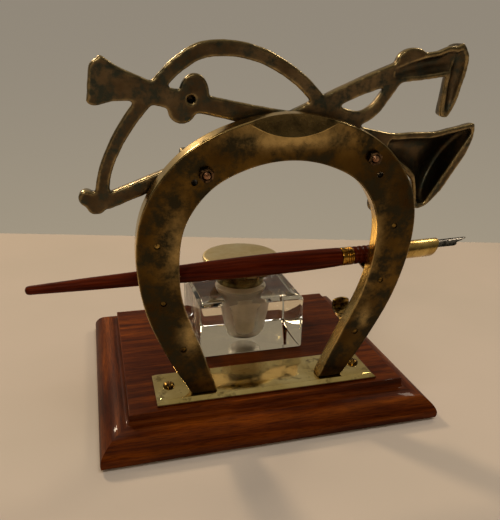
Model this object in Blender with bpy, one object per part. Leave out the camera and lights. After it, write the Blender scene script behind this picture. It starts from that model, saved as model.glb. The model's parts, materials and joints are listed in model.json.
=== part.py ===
"""Desk inkstand: a moulded mahogany base with a brass foot plate, a leaning brass horseshoe
that carries six pen hooks and a cast hunting trophy, a lidded glass ink bottle and a dip pen.

Metres, +Z up. The origin is the centre of the base's underside. The user sits on the -Y side,
the horseshoe stands near the +Y edge, and X runs along the base."""

import math

import bmesh
import bpy
from mathutils import Matrix, Vector

MM = 0.001

# Fits that several pieces share
SEAT_GAP = 0.3 * MM
CUT_OVERRUN = 1.0 * MM

# Base: baize pad and moulded plinth
PAD_THICKNESS = 0.8 * MM
PAD_INSET = 3.0 * MM
PLINTH_TOP_LENGTH = 118.0 * MM
PLINTH_TOP_WIDTH = 97.0 * MM
PLINTH_HEIGHT = 14.4 * MM
MOULDING_REACH = 12.5 * MM
STEP_DROP = 2.6 * MM
STEP_ROUND = 0.5 * MM
COVE_RADIUS = 1.6 * MM
NOSE_DROP = 12.0 * MM
NOSE_TUCK = 0.3 * MM
NOSE_FULLNESS = 1.6

# Foot plate and its screws
PLATE_LENGTH = 96.0 * MM
PLATE_WIDTH = 23.3 * MM
PLATE_THICKNESS = 2.2 * MM
PLATE_EDGE = 0.8 * MM
PLATE_BEVEL = 1.8 * MM
PLATE_REAR_MARGIN = 1.8 * MM
PLATE_SCREW_SPACING = 84.0 * MM
PLATE_SCREW_HEAD = 4.8 * MM
PLATE_SCREW_DOME = 1.3 * MM
PLATE_SCREW_SLOT = 0.7 * MM
PLATE_SCREW_SHANK = 2.4 * MM
PLATE_SCREW_DEPTH = 9.0 * MM
HEEL_SCREW_HEAD = 4.4 * MM
HEEL_SCREW_SINK = 1.3 * MM
HEEL_SCREW_SHANK = 2.0 * MM
HEEL_SCREW_REACH = 5.5 * MM

# Horseshoe
SHOE_LENGTH = 114.5 * MM
SHOE_WIDTH = 106.6 * MM
SHOE_THICKNESS = 5.6 * MM
SHOE_CHAMFER = 0.6 * MM
SHOE_LEAN = math.radians(9.8)
SHOE_REAR_MARGIN = 3.1 * MM
SHOE_OFFSET = 0.6 * MM
TOE_WIDTH = 15.7 * MM
BRANCH_WIDTH = 15.2 * MM
HOLLOW_RADIUS = 26.5 * MM
HOLLOW_DEPTH = 2.1 * MM
HOLLOW_DROP = 7.5 * MM
NAIL_HOLE = 2.3 * MM
TENON_CLEARANCE = 0.1 * MM

# Outline of one branch, heel to toe: half-width as a share of the widest, height as a share of the length
OUTER_SHARES = [(0.622, 0.0), (0.808, 0.18), (0.950, 0.37), (1.0, 0.575),
                (0.929, 0.742), (0.704, 0.883), (0.385, 0.967), (0.0, 1.0)]
INNER_SHARES = [(0.585, 0.0), (0.769, 0.218), (0.953, 0.437), (1.0, 0.612),
                (0.942, 0.775), (0.713, 0.905), (0.372, 0.976), (0.0, 1.0)]

# Nail holes of each branch in the same shares, toe quarter first. The last three take the hooks.
NAIL_SHARES = {
    "left": [(0.623, 0.806), (0.861, 0.605), (0.824, 0.395), (0.684, 0.201)],
    "right": [(0.646, 0.809), (0.833, 0.625), (0.810, 0.413), (0.677, 0.197)],
}
HOOK_LEVELS = ["upper", "middle", "lower"]

# Pen hooks
HOOK_WIDTH = 7.8 * MM
HOOK_STRIP = 1.4 * MM
HOOK_BACK_WIDTH = 4.6 * MM
HOOK_BACK_THICKNESS = 2.0 * MM
HOOK_BACK_DROP = 2.0 * MM
HOOK_BACK_RISE = 4.6 * MM
HOOK_SPACE = 8.6 * MM
HOOK_LIP = 4.6 * MM
HOOK_RISE = 1.7 * MM
HOOK_BEND = 1.2 * MM
HOOK_ARCH = 1.2 * MM
TENON_SUNK = 0.4 * MM

# Hunting trophy: places across and up the shoe, widths and depths, all as shares of the shoe's length
HORN_BACK = 0.5 * MM
WHIP_BACK = 0.9 * MM
THONG_BACK = 1.3 * MM
HORN_LINE_SHARES = [(0.5668, 1.0839), (0.5608, 1.0829), (0.5457, 1.0789), (0.4994, 1.0709),
                    (0.4511, 1.0608), (0.3947, 1.0437), (0.3253, 1.0266), (0.2378, 1.0110),
                    (0.0798, 0.9773), (-0.0792, 0.9511), (-0.2281, 0.9139), (-0.3428, 0.8807),
                    (-0.4207, 0.8631), (-0.4790, 0.8444), (-0.5099, 0.8321), (-0.5363, 0.8194),
                    (-0.5613, 0.8061), (-0.5810, 0.7962), (-0.5957, 0.7891), (-0.6066, 0.7838)]
HORN_RADIUS_SHARES = [0.03, 0.052, 0.0685, 0.0486, 0.037, 0.0305, 0.0288, 0.0275, 0.031, 0.0306, 0.0332,
                      0.0437, 0.064, 0.0864, 0.1138, 0.1403, 0.166, 0.153, 0.122, 0.07]
HORN_DEPTH_SHARES = [0.03, 0.05, 0.0655, 0.059, 0.0541, 0.0489, 0.0472, 0.0472, 0.0472, 0.0472, 0.0489,
                     0.0541, 0.0629, 0.07, 0.0786, 0.0917, 0.1048, 0.1, 0.085, 0.055]
BELL_WALL = 2.3 * MM
BELL_HOLLOW_START_STEPS = 11
BELL_HOLLOW_END_STEPS = 17
WHIP_LINE_SHARES = [(0.543, 0.729), (0.354, 0.805), (0.168, 0.884), (-0.008, 0.964), (-0.189, 1.053),
                    (-0.323, 1.104), (-0.413, 1.125), (-0.467, 1.134), (-0.502, 1.144), (-0.537, 1.150)]
WHIP_WIDTH_SHARES = [0.024, 0.0245, 0.0285, 0.0295, 0.0255, 0.032, 0.04, 0.041, 0.045, 0.036]
WHIP_DEPTH = 6.0 * MM
HANDLE_LINE_SHARES = [(-0.512, 1.185), (-0.529, 1.148), (-0.532, 1.108), (-0.530, 1.073), (-0.528, 1.027),
                      (-0.523, 0.990), (-0.520, 0.971)]
HANDLE_WIDTH_SHARES = [0.028, 0.036, 0.034, 0.032, 0.028, 0.021, 0.012]
CHANNEL_WALL = 1.7 * MM
CHANNEL_DEPTH = 2.4 * MM
CHANNEL_START_STEPS = 5
THONG_LINE_SHARES = [(0.551, 0.741), (0.539, 0.818), (0.508, 0.896), (0.467, 0.965), (0.419, 1.027),
                     (0.376, 1.077), (0.330, 1.122), (0.266, 1.160), (0.180, 1.167), (0.098, 1.150),
                     (0.032, 1.120), (-0.029, 1.081), (-0.072, 1.043), (-0.112, 1.007), (-0.167, 0.982),
                     (-0.228, 0.972), (-0.274, 0.997), (-0.299, 1.032), (-0.329, 1.083)]
THONG_WIDTH_SHARES = [0.0215, 0.02, 0.02, 0.0212, 0.022, 0.0215, 0.0222, 0.0235, 0.0225, 0.0217, 0.0207,
                      0.021, 0.021, 0.0215, 0.0225, 0.0225, 0.02, 0.019, 0.02]
THONG_DEPTH = 4.2 * MM
KNOT_SHARES = [(0.568, 0.728, 0.032, 0.036), (0.594, 0.745, 0.024, 0.026), (-0.374, 1.138, 0.056, 0.043),
               (0.283, 1.047, 0.043, 0.055), (0.318, 1.000, 0.041, 0.040)]
KNOT_DEPTH = 7.0 * MM
KNOT_HOLE = 2.6 * MM
KNOT_HOLE_DEPTH = 3.0 * MM
KNOT_HOLE_SHARES = (0.292, 1.030)
LUG_SHARES = (0.307, 0.869)
LUG_HALF_WIDTH = 1.8 * MM
PAD_RADIUS = 4.4 * MM
PAD_DEPTH = 4.6 * MM
STUD_SHARES = {"left": (0.257, 0.832), "right": (-0.266, 0.868)}

# Studs and nuts of the trophy
STUD_DIAMETER = 2.4 * MM
STUD_BURIED = 3.0 * MM
STUD_PROUD = 2.6 * MM
NUT_ACROSS_FLATS = 4.6 * MM
NUT_HEIGHT = 1.6 * MM
NUT_TURN = math.radians(12)

# Ink bottle
BOTTLE_WIDTH = 50.0 * MM
BOTTLE_HEIGHT = 27.0 * MM
BOTTLE_OFFSET = -0.9 * MM
BOTTLE_CENTRE_Y = -13.1 * MM
BOTTLE_CHAMFER = 1.6 * MM
NECK_DIAMETER = 19.6 * MM
NECK_HEIGHT = 7.4 * MM
MOUTH_DIAMETER = 15.6 * MM
WELL_DIAMETER = 25.0 * MM
WELL_BASE_DIAMETER = 19.5 * MM
WELL_FLOOR = 1.8 * MM
WELL_CORNER = 5.0 * MM
WELL_SHOULDER = 3.0 * MM

# Collar, lid and hinge
COLLAR_WALL = 1.2 * MM
COLLAR_FLANGE = 1.6 * MM
COLLAR_HEIGHT = 9.3 * MM
COLLAR_RIM_DIAMETER = 33.0 * MM
COLLAR_RIM = 1.2 * MM
COLLAR_FLARE_SHARES = [(0.04, 0.42), (0.35, 0.65), (0.80, 0.80)]
LID_DIAMETER = 37.6 * MM
LID_THICKNESS = 4.2 * MM
LID_SEAT_DIAMETER = 31.0 * MM
LID_HOLLOW_DIAMETER = 26.0 * MM
LID_HOLLOW_DEPTH = 1.8 * MM
LID_CROWN = 0.5 * MM
HINGE_PIN = 1.4 * MM
HINGE_CLEARANCE = 0.1 * MM
KNUCKLE = 3.4 * MM
KNUCKLE_LENGTH = 4.5 * MM
HINGE_RISE = 1.3 * MM
HINGE_WEB = 5.0 * MM
HINGE_WEB_THICKNESS = 1.2 * MM

# Dip pen: length shares of the holder with radius shares of the widest place
PEN_TAIL_REACH = 92.7 * MM
HOLDER_LENGTH = 121.7 * MM
HOLDER_WIDEST = 8.7 * MM
HOLDER_SHARES = [(0.0, 0.26), (0.012, 0.38), (0.18, 0.54), (0.32, 0.64), (0.44, 0.77),
                 (0.62, 0.94), (0.76, 1.0), (0.90, 0.955), (1.0, 0.87)]
FERRULE_LENGTH = 5.4 * MM
FERRULE_DIAMETER = 7.5 * MM
FERRULE_BEAD = 0.35 * MM
FERRULE_BEADS = 4
GRIP_RIBS = 6
GRIP_LENGTH = 13.6 * MM
GRIP_DIAMETER = 7.3 * MM
SOCKET_LENGTH = 25.5 * MM
SOCKET_DIAMETER = 7.6 * MM
SOCKET_WALL = 0.6 * MM
SOCKET_SLANT = 4.0 * MM
CORE_DIAMETER = 5.0 * MM
CORE_IN_SOCKET = 6.0 * MM
NIB_LENGTH = 23.5 * MM
NIB_SHOWING = 13.9 * MM
NIB_THICKNESS = 0.4 * MM
NIB_ARC = math.radians(78)
NIB_SHARES = [(0.0, 1.0), (0.72, 1.0), (0.77, 0.62), (0.88, 0.46), (1.0, 0.07)]

# Facets
ROUND_SIDES = 32
SMALL_SIDES = 14
SCOOP_SIDES = 64
SCOOP_RINGS = 8
CURVE_STEPS = 4
RELIEF_STEPS = 2
RELIEF_SIDES = 7
HORN_SIDES = 11


def make_material(name, hex_colour, roughness, metallic):
    """A Principled material whose colour is written as sRGB hex."""
    channels = [int(hex_colour[i:i + 2], 16) / 255 for i in (1, 3, 5)]
    linear = [c / 12.92 if c <= 0.04045 else ((c + 0.055) / 1.055) ** 2.4 for c in channels]
    material = bpy.data.materials.new(name)
    material.use_nodes = True
    shader = material.node_tree.nodes["Principled BSDF"]
    shader.inputs["Base Color"].default_value = (*linear, 1)
    shader.inputs["Roughness"].default_value = roughness
    shader.inputs["Metallic"].default_value = metallic
    material.diffuse_color = (*linear, 1)
    return material


def add_mesh(name, points, faces, material=None, parent=None):
    """An object from points and faces, with its faces turned outwards."""
    shape = bmesh.new()
    vertices = [shape.verts.new(point) for point in points]
    for face in faces:
        shape.faces.new([vertices[i] for i in face])
    bmesh.ops.recalc_face_normals(shape, faces=shape.faces)
    mesh = bpy.data.meshes.new(name)
    shape.to_mesh(mesh)
    shape.free()
    mesh.shade_smooth()
    mesh.set_sharp_from_angle(angle=math.radians(35))
    if material:
        mesh.materials.append(material)
    thing = bpy.data.objects.new(name, mesh)
    bpy.context.scene.collection.objects.link(thing)
    thing.parent = parent
    return thing


def loft(name, rings, material=None, parent=None, closed=False):
    """Joins rings of equal count with quads. An open loft is capped, a closed one meets its first ring."""
    count = len(rings[0])
    points = [tuple(point) for ring in rings for point in ring]
    faces = []
    for i in range(len(rings) if closed else len(rings) - 1):
        a = i * count
        b = ((i + 1) % len(rings)) * count
        for j in range(count):
            k = (j + 1) % count
            faces.append((a + j, a + k, b + k, b + j))
    if not closed:
        faces.append(tuple(range(count)))
        faces.append(tuple(range(len(points) - count, len(points))))
    return add_mesh(name, points, faces, material, parent)


def circle(radius, height, sides, turn_by=0.0):
    """Points of a level circle about the local Z axis."""
    turns = [2 * math.pi * i / sides + turn_by for i in range(sides)]
    return [(radius * math.cos(a), radius * math.sin(a), height) for a in turns]


def turned(name, outline, sides, material=None, parent=None, hollow=False):
    """Turns (radius, height) points about Z. A hollow outline closes on itself, a solid one is capped."""
    rings = [circle(radius, height, sides) for radius, height in outline]
    return loft(name, rings, material, parent, closed=hollow)


def rectangle(half_x, half_y, height, corner=0.0):
    """A level rectangle of four points, or of eight with its corners cut."""
    if corner == 0.0:
        return [(half_x, half_y, height), (-half_x, half_y, height),
                (-half_x, -half_y, height), (half_x, -half_y, height)]
    return [(half_x - corner, half_y, height), (corner - half_x, half_y, height),
            (-half_x, half_y - corner, height), (-half_x, corner - half_y, height),
            (corner - half_x, -half_y, height), (half_x - corner, -half_y, height),
            (half_x, corner - half_y, height), (half_x, half_y - corner, height)]


def block(name, low, high, material=None, parent=None):
    """A box between two opposite corners."""
    half = [(b - a) / 2 for a, b in zip(low, high)]
    thing = loft(name, [rectangle(half[0], half[1], -half[2]), rectangle(half[0], half[1], half[2])],
                 material, parent)
    thing.location = [(a + b) / 2 for a, b in zip(low, high)]
    return thing


def bar(name, start, end, radius, sides, material=None, parent=None, turn_by=0.0):
    """A round or many-sided bar between two points."""
    start = Vector(start)
    along = Vector(end) - start
    place = Matrix.Translation(start) @ along.to_track_quat("Z", "Y").to_matrix().to_4x4()
    rings = [[place @ Vector(point) for point in circle(radius, height, sides, turn_by)]
             for height in (0.0, along.length)]
    return loft(name, rings, material, parent)


def boolean(target, tool, operation):
    """Adds or takes away a tool shape, which stays in the file as a hidden guide."""
    tool.hide_render = True
    tool.display_type = "WIRE"
    modifier = target.modifiers.new(operation.lower() + " " + tool.name, "BOOLEAN")
    modifier.operation = operation
    modifier.object = tool
    modifier.solver = "EXACT"


def smooth_curve(points, steps):
    """Catmull-Rom points through the given ones, with the ends repeated."""
    stations = [Vector(point) for point in [points[0], *points, points[-1]]]
    curve = []
    for i in range(1, len(stations) - 2):
        a, b, c, d = stations[i - 1:i + 3]
        for step in range(steps):
            t = step / steps
            curve.append(0.5 * (2 * b + (c - a) * t + (2 * a - 5 * b + 4 * c - d) * t * t
                                + (3 * b - a - 3 * c + d) * t ** 3))
    curve.append(stations[-2])
    return curve


def on_shoe(shares, steps=0):
    """Shares of the shoe's length as points in its plane, smoothed when steps are given."""
    points = [SHOE_LENGTH * Vector(share) for share in shares]
    return smooth_curve(points, steps) if steps else points


def along_line(shares):
    """Single shares of the shoe's length, smoothed to match a line of stations."""
    lengths = [(share * SHOE_LENGTH, 0.0) for share in shares]
    return [point[0] for point in smooth_curve(lengths, RELIEF_STEPS)]


def relief(name, centres, half_widths, depths, back, round_points=RELIEF_SIDES):
    """A bar with a flat back and a half-round front, swept along centres in the plane of the shoe."""
    rings = []
    for i, centre in enumerate(centres):
        along = (centres[min(i + 1, len(centres) - 1)] - centres[max(i - 1, 0)]).normalized()
        side = Vector((-along[1], along[0]))
        ring = []
        for j in range(round_points):
            turn = math.pi * j / (round_points - 1)
            across = centre + side * half_widths[i] * math.cos(turn)
            ring.append((across[0], back - depths[i] * math.sin(turn), across[1]))
        rings.append(ring)
    return loft(name, rings, parent=shoe_frame)


def knot_shape(name, share, depth, back):
    """A half ellipsoid with a flat back, for a cast knot."""
    middle_x, middle_z, half_width, half_height = [value * SHOE_LENGTH for value in share]
    rings = []
    for level in (0.0, 0.35, 0.65, 0.88):
        shrink = math.sqrt(1 - level ** 2)
        rings.append([(middle_x + half_width * shrink * x, back - depth * level,
                       middle_z + half_height * shrink * y) for x, y, _ in circle(1.0, 0.0, SMALL_SIDES)])
    return loft(name, rings, parent=shoe_frame)


def through_shoe(name, place, radius, start, end, sides=SMALL_SIDES, material=None, turn_by=0.0):
    """A bar square to the shoe's face, from local y = start to end."""
    return bar(name, (place[0], start, place[1]), (place[0], end, place[1]), radius, sides, material,
               shoe_frame, turn_by)


for old in list(bpy.data.objects):
    bpy.data.objects.remove(old)

mahogany = make_material("french polished mahogany", "#5a2413", 0.22, 0.0)
baize = make_material("green baize", "#2f4a33", 0.95, 0.0)
plate_brass = make_material("polished brass", "#b08d3c", 0.25, 1.0)
shoe_brass = make_material("patinated brass", "#5f4820", 0.38, 1.0)
bronze = make_material("dark cast bronze", "#4b4232", 0.5, 1.0)
steel = make_material("steel", "#6d6f70", 0.35, 1.0)
glass = make_material("clear glass", "#dfe6e2", 0.05, 0.0)
holder_wood = make_material("stained holder wood", "#4a1a12", 0.2, 0.0)

# Baize pad
pad_half_x = PLINTH_TOP_LENGTH / 2 + MOULDING_REACH - PAD_INSET
pad_half_y = PLINTH_TOP_WIDTH / 2 + MOULDING_REACH - PAD_INSET
loft("baize_pad", [rectangle(pad_half_x, pad_half_y, 0.0),
                   rectangle(pad_half_x, pad_half_y, PAD_THICKNESS)], baize)

# Plinth: a mitred moulding, a small step and cove over a thumb-shaped edge
plinth_top = PAD_THICKNESS + SEAT_GAP + PLINTH_HEIGHT
profile = [(0.0, 0.0), (STEP_ROUND * 0.7, STEP_ROUND * 0.3), (STEP_ROUND, STEP_ROUND),
           (STEP_ROUND, STEP_DROP)]
for step in range(1, 5):
    turn = math.pi / 2 * step / 4
    profile.append((STEP_ROUND + COVE_RADIUS * (1 - math.cos(turn)),
                    STEP_DROP + COVE_RADIUS * math.sin(turn)))
thumb_start, thumb_top = profile[-1]
for step in range(1, 10):
    share = math.sin(math.pi / 2 * step / 9)
    fall = 1 - max(1 - share ** 2, 0.0) ** (1 / NOSE_FULLNESS)
    profile.append((thumb_start + (MOULDING_REACH - thumb_start) * share,
                    thumb_top + (NOSE_DROP - thumb_top) * fall))
profile.append((MOULDING_REACH - NOSE_TUCK, PLINTH_HEIGHT))
plinth = loft("plinth", [rectangle(PLINTH_TOP_LENGTH / 2 + out, PLINTH_TOP_WIDTH / 2 + out, plinth_top - down)
                         for out, down in profile], mahogany)

# Foot plate
plate_low = plinth_top + SEAT_GAP
plate_top = plate_low + PLATE_THICKNESS
plate_rear = PLINTH_TOP_WIDTH / 2 - PLATE_REAR_MARGIN
plate_y = plate_rear - PLATE_WIDTH / 2
foot_plate = loft("foot_plate", [
    rectangle(PLATE_LENGTH / 2, PLATE_WIDTH / 2, plate_low),
    rectangle(PLATE_LENGTH / 2, PLATE_WIDTH / 2, plate_low + PLATE_EDGE),
    rectangle(PLATE_LENGTH / 2 - PLATE_BEVEL, PLATE_WIDTH / 2 - PLATE_BEVEL, plate_top)], plate_brass)
foot_plate.location.y = plate_y

# Plate screws, one near each end, with slotted domed heads on the plate and shanks in the wood
for side, sign in (("left", 1), ("right", -1)):
    place = Vector((sign * PLATE_SCREW_SPACING / 2, plate_y, 0.0))
    head_low = plate_top + SEAT_GAP
    head = PLATE_SCREW_HEAD / 2
    shank = PLATE_SCREW_SHANK / 2
    shank_low = plate_low - PLATE_SCREW_DEPTH
    outline = [(shank / 2, shank_low), (shank, shank_low + 2 * shank), (shank, head_low), (head, head_low)]
    for degrees in (15, 40, 65, 82):
        turn = math.radians(degrees)
        outline.append((head * math.cos(turn), head_low + PLATE_SCREW_DOME * math.sin(turn)))
    screw = turned("plate_screw_" + side, outline, SMALL_SIDES, plate_brass)
    screw.location = place
    slot_low = head_low + PLATE_SCREW_DOME / 2
    slot = block("screw slot " + side, place + Vector((-PLATE_SCREW_SLOT / 2, -2 * head, slot_low)),
                 place + Vector((PLATE_SCREW_SLOT / 2, 2 * head, slot_low + PLATE_SCREW_DOME)))
    boolean(screw, slot, "DIFFERENCE")
    hole = turned("screw hole " + side, [(shank + SEAT_GAP, shank_low - SEAT_GAP),
                                         (shank + SEAT_GAP, head_low)], SMALL_SIDES)
    hole.location = place
    boolean(plinth, hole, "DIFFERENCE")
    boolean(foot_plate, hole, "DIFFERENCE")

# Frame of the leaning shoe: local X across, local Y out of its rear face, local Z up the shoe
shoe_frame = bpy.data.objects.new("shoe_frame", None)
bpy.context.scene.collection.objects.link(shoe_frame)
shoe_frame.location = (SHOE_OFFSET, plate_rear - SHOE_REAR_MARGIN, plate_top + SEAT_GAP)
shoe_frame.rotation_euler = (-SHOE_LEAN, 0, 0)
shoe_place = Matrix.Translation(shoe_frame.location) @ Matrix.Rotation(-SHOE_LEAN, 4, "X")

# Horseshoe: a chamfered bar lofted from heel to heel
half_width = SHOE_WIDTH / 2
opening_half = half_width - BRANCH_WIDTH
opening_length = SHOE_LENGTH - TOE_WIDTH
outer_half = [(half_width * x, SHOE_LENGTH * z) for x, z in OUTER_SHARES]
inner_half = [(opening_half * x, opening_length * z) for x, z in INNER_SHARES]
outer_line = smooth_curve(outer_half + [(-x, z) for x, z in outer_half[-2::-1]], CURVE_STEPS)
inner_line = smooth_curve(inner_half + [(-x, z) for x, z in inner_half[-2::-1]], CURVE_STEPS)
shoe_rings = []
for index, (out_point, in_point) in enumerate(zip(outer_line, inner_line)):
    across = (out_point - in_point).normalized() * SHOE_CHAMFER
    out_cut = out_point - across
    in_cut = in_point + across
    front_cut = SHOE_CHAMFER - SHOE_THICKNESS
    section = [(in_cut, 0.0), (out_cut, 0.0), (out_point, -SHOE_CHAMFER), (out_point, front_cut),
               (out_cut, -SHOE_THICKNESS), (in_cut, -SHOE_THICKNESS), (in_point, front_cut),
               (in_point, -SHOE_CHAMFER)]
    heel = math.tan(SHOE_LEAN) if index in (0, len(outer_line) - 1) else 0.0
    shoe_rings.append([(point[0], depth, point[1] + depth * heel) for point, depth in section])
horseshoe = loft("horseshoe", shoe_rings, shoe_brass, shoe_frame)

# Toe hollow: a shallow ball-shaped scoop in the rear face
ball_height = SHOE_LENGTH - HOLLOW_DROP + HOLLOW_RADIUS
at_edge = HOLLOW_RADIUS - HOLLOW_DROP
ball_out = (HOLLOW_RADIUS ** 2 - at_edge ** 2 - HOLLOW_DEPTH ** 2) / (2 * HOLLOW_DEPTH)
ball_radius = math.hypot(HOLLOW_RADIUS, ball_out)
steepest = math.asin(HOLLOW_RADIUS / ball_radius) * 1.15
scoop_rings = []
for step in range(SCOOP_RINGS):
    tilt = steepest * (1 - step / SCOOP_RINGS)
    scoop_rings.append([(x, ball_out - ball_radius * math.cos(tilt), ball_height + y)
                        for x, y, _ in circle(ball_radius * math.sin(tilt), 0.0, SCOOP_SIDES)])
boolean(horseshoe, loft("toe scoop", scoop_rings, parent=shoe_frame), "DIFFERENCE")

# Nail holes
nail_places = {}
for side, sign in (("left", 1), ("right", -1)):
    for number, (x_share, z_share) in enumerate(NAIL_SHARES[side]):
        place = (sign * half_width * x_share, SHOE_LENGTH * z_share)
        nail_places[side, number] = place
        hole = through_shoe(f"nail hole {side} {number}", place, NAIL_HOLE / 2, CUT_OVERRUN,
                            -SHOE_THICKNESS - CUT_OVERRUN)
        boolean(horseshoe, hole, "DIFFERENCE")

# Pen hooks: bent strip with a back plate against the shoe and a tenon riveted through the nail hole
hook_face = -SHOE_THICKNESS - SEAT_GAP
back_face = hook_face - HOOK_BACK_THICKNESS
lip_inside = back_face - HOOK_SPACE
for side in ("left", "right"):
    for number, level in enumerate(HOOK_LEVELS, start=1):
        nail_x, nail_z = nail_places[side, number]
        floor = nail_z + HOOK_RISE
        rings = []
        for share in (-1.0, -0.92, -0.7, -0.35, 0.0, 0.35, 0.7, 0.92, 1.0):
            lip_top = floor + HOOK_LIP - HOOK_ARCH * share ** 2
            ring = [(back_face + HOOK_BACK_THICKNESS / 2, floor)]
            outside = []
            for step in range(5):
                turn = math.pi / 2 * step / 4
                ring.append((lip_inside + HOOK_BEND * (1 - math.sin(turn)),
                             floor + HOOK_BEND * (1 - math.cos(turn))))
                reach = HOOK_BEND + HOOK_STRIP
                outside.append((lip_inside + HOOK_BEND - reach * math.sin(turn),
                                floor + HOOK_BEND - reach * math.cos(turn)))
            ring += [(lip_inside, lip_top), (lip_inside - HOOK_STRIP * 0.3, lip_top + HOOK_STRIP * 0.25),
                     (lip_inside - HOOK_STRIP, lip_top - HOOK_STRIP * 0.3)]
            ring += outside[::-1] + [(back_face + HOOK_BACK_THICKNESS / 2, floor - HOOK_STRIP)]
            rings.append([(nail_x + HOOK_WIDTH / 2 * share, depth, height) for depth, height in ring])
        name = f"pen_hook_{level}_{side}"
        hook = loft(name, rings, plate_brass, shoe_frame)
        back = block(name + " back", (nail_x - HOOK_BACK_WIDTH / 2, back_face, nail_z - HOOK_BACK_DROP),
                     (nail_x + HOOK_BACK_WIDTH / 2, hook_face, nail_z + HOOK_BACK_RISE), parent=shoe_frame)
        tenon = through_shoe(name + " tenon", (nail_x, nail_z), NAIL_HOLE / 2 - TENON_CLEARANCE, -TENON_SUNK,
                             hook_face - HOOK_BACK_THICKNESS / 2)
        boolean(hook, back, "UNION")
        boolean(hook, tenon, "UNION")

# Heel screws, up through the plate from beneath into each heel
heel_middle = (OUTER_SHARES[0][0] * half_width + INNER_SHARES[0][0] * opening_half) / 2
for side, sign in (("left", 1), ("right", -1)):
    head = HEEL_SCREW_HEAD / 2
    shank = HEEL_SCREW_SHANK / 2
    sink_top = plate_low + HEEL_SCREW_SINK
    shank_top = shoe_frame.location.z + HEEL_SCREW_REACH
    drift = HEEL_SCREW_REACH / 2 * math.tan(SHOE_LEAN)
    place = (SHOE_OFFSET + sign * heel_middle, shoe_frame.location.y - SHOE_THICKNESS / 2 + drift, 0.0)
    screw = turned("heel_screw_" + side, [(head - SEAT_GAP, plate_low), (shank, sink_top),
                                          (shank, shank_top)], SMALL_SIDES, steel)
    screw.location = place
    sink = turned("heel sink " + side, [(head + CUT_OVERRUN, plate_low - CUT_OVERRUN),
                                        (shank + SEAT_GAP, sink_top + SEAT_GAP / 2),
                                        (shank + SEAT_GAP, shank_top + SEAT_GAP)], SMALL_SIDES)
    sink.location = place
    boolean(foot_plate, sink, "DIFFERENCE")
    boolean(horseshoe, sink, "DIFFERENCE")

# Hunting trophy: horn, whip and thong in one casting with a flat, partly hollowed back
horn_line = on_shoe(HORN_LINE_SHARES, RELIEF_STEPS)
horn_radii = along_line(HORN_RADIUS_SHARES)
horn_depths = along_line(HORN_DEPTH_SHARES)
trophy = relief("hunting_trophy", horn_line, horn_radii, horn_depths, hook_face - HORN_BACK, HORN_SIDES)
trophy.data.materials.append(bronze)
whip_line = on_shoe(WHIP_LINE_SHARES, RELIEF_STEPS)
whip_widths = along_line(WHIP_WIDTH_SHARES)
whip = relief("whip", whip_line, whip_widths, [WHIP_DEPTH] * len(whip_line), hook_face - WHIP_BACK)
handle_line = on_shoe(HANDLE_LINE_SHARES, RELIEF_STEPS)
handle_widths = along_line(HANDLE_WIDTH_SHARES)
handle = relief("handle hook", handle_line, handle_widths, [WHIP_DEPTH + SEAT_GAP] * len(handle_line),
                hook_face - WHIP_BACK - SEAT_GAP)
thong_line = on_shoe(THONG_LINE_SHARES, RELIEF_STEPS)
thong = relief("thong", thong_line, along_line(THONG_WIDTH_SHARES), [THONG_DEPTH] * len(thong_line),
               hook_face - THONG_BACK)
for piece in (whip, handle, thong):
    boolean(trophy, piece, "UNION")
for number, share in enumerate(KNOT_SHARES):
    back = hook_face - HORN_BACK / 2 - number * HORN_BACK / 12
    boolean(trophy, knot_shape(f"knot {number}", share, KNOT_DEPTH, back), "UNION")
stud_places = {}
for side, share in STUD_SHARES.items():
    stud_places[side] = on_shoe([share])[0]
    pad = through_shoe("fixing pad " + side, stud_places[side], PAD_RADIUS, hook_face, hook_face - PAD_DEPTH)
    boolean(trophy, pad, "UNION")
lug_x, lug_z = on_shoe([LUG_SHARES])[0]
lug = block("lug", (lug_x - LUG_HALF_WIDTH, hook_face - PAD_DEPTH, lug_z - 2 * LUG_HALF_WIDTH),
            (lug_x + LUG_HALF_WIDTH, hook_face - WHIP_BACK / 2, lug_z + LUG_HALF_WIDTH), parent=shoe_frame)
boolean(trophy, lug, "UNION")

# Hollows in the casting's back: the bell, the whip's handle and its hook
first = BELL_HOLLOW_START_STEPS * RELIEF_STEPS
last = BELL_HOLLOW_END_STEPS * RELIEF_STEPS
bell = relief("bell hollow", horn_line[first:last], [radius - BELL_WALL for radius in horn_radii[first:last]],
              [depth - BELL_WALL + CUT_OVERRUN for depth in horn_depths[first:last]],
              hook_face - HORN_BACK + CUT_OVERRUN, HORN_SIDES)
boolean(trophy, bell, "DIFFERENCE")
first = CHANNEL_START_STEPS * RELIEF_STEPS
channel_line = whip_line[first:-1]
channel = relief("handle channel", channel_line, [width - CHANNEL_WALL for width in whip_widths[first:-1]],
                 [CHANNEL_DEPTH + CUT_OVERRUN] * len(channel_line), hook_face - WHIP_BACK + CUT_OVERRUN)
boolean(trophy, channel, "DIFFERENCE")
hook_channel_line = handle_line[RELIEF_STEPS:-2 * RELIEF_STEPS]
hook_channel = relief("hook channel", hook_channel_line,
                      [width - CHANNEL_WALL for width in handle_widths[RELIEF_STEPS:-2 * RELIEF_STEPS]],
                      [CHANNEL_DEPTH + CUT_OVERRUN + SEAT_GAP] * len(hook_channel_line),
                      hook_face - WHIP_BACK + CUT_OVERRUN + SEAT_GAP / 2)
boolean(trophy, hook_channel, "DIFFERENCE")
knot_hole = through_shoe("knot hole", on_shoe([KNOT_HOLE_SHARES])[0], KNOT_HOLE / 2, hook_face + CUT_OVERRUN,
                         hook_face - HORN_BACK / 2 - KNOT_HOLE_DEPTH)
boolean(trophy, knot_hole, "DIFFERENCE")

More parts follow.
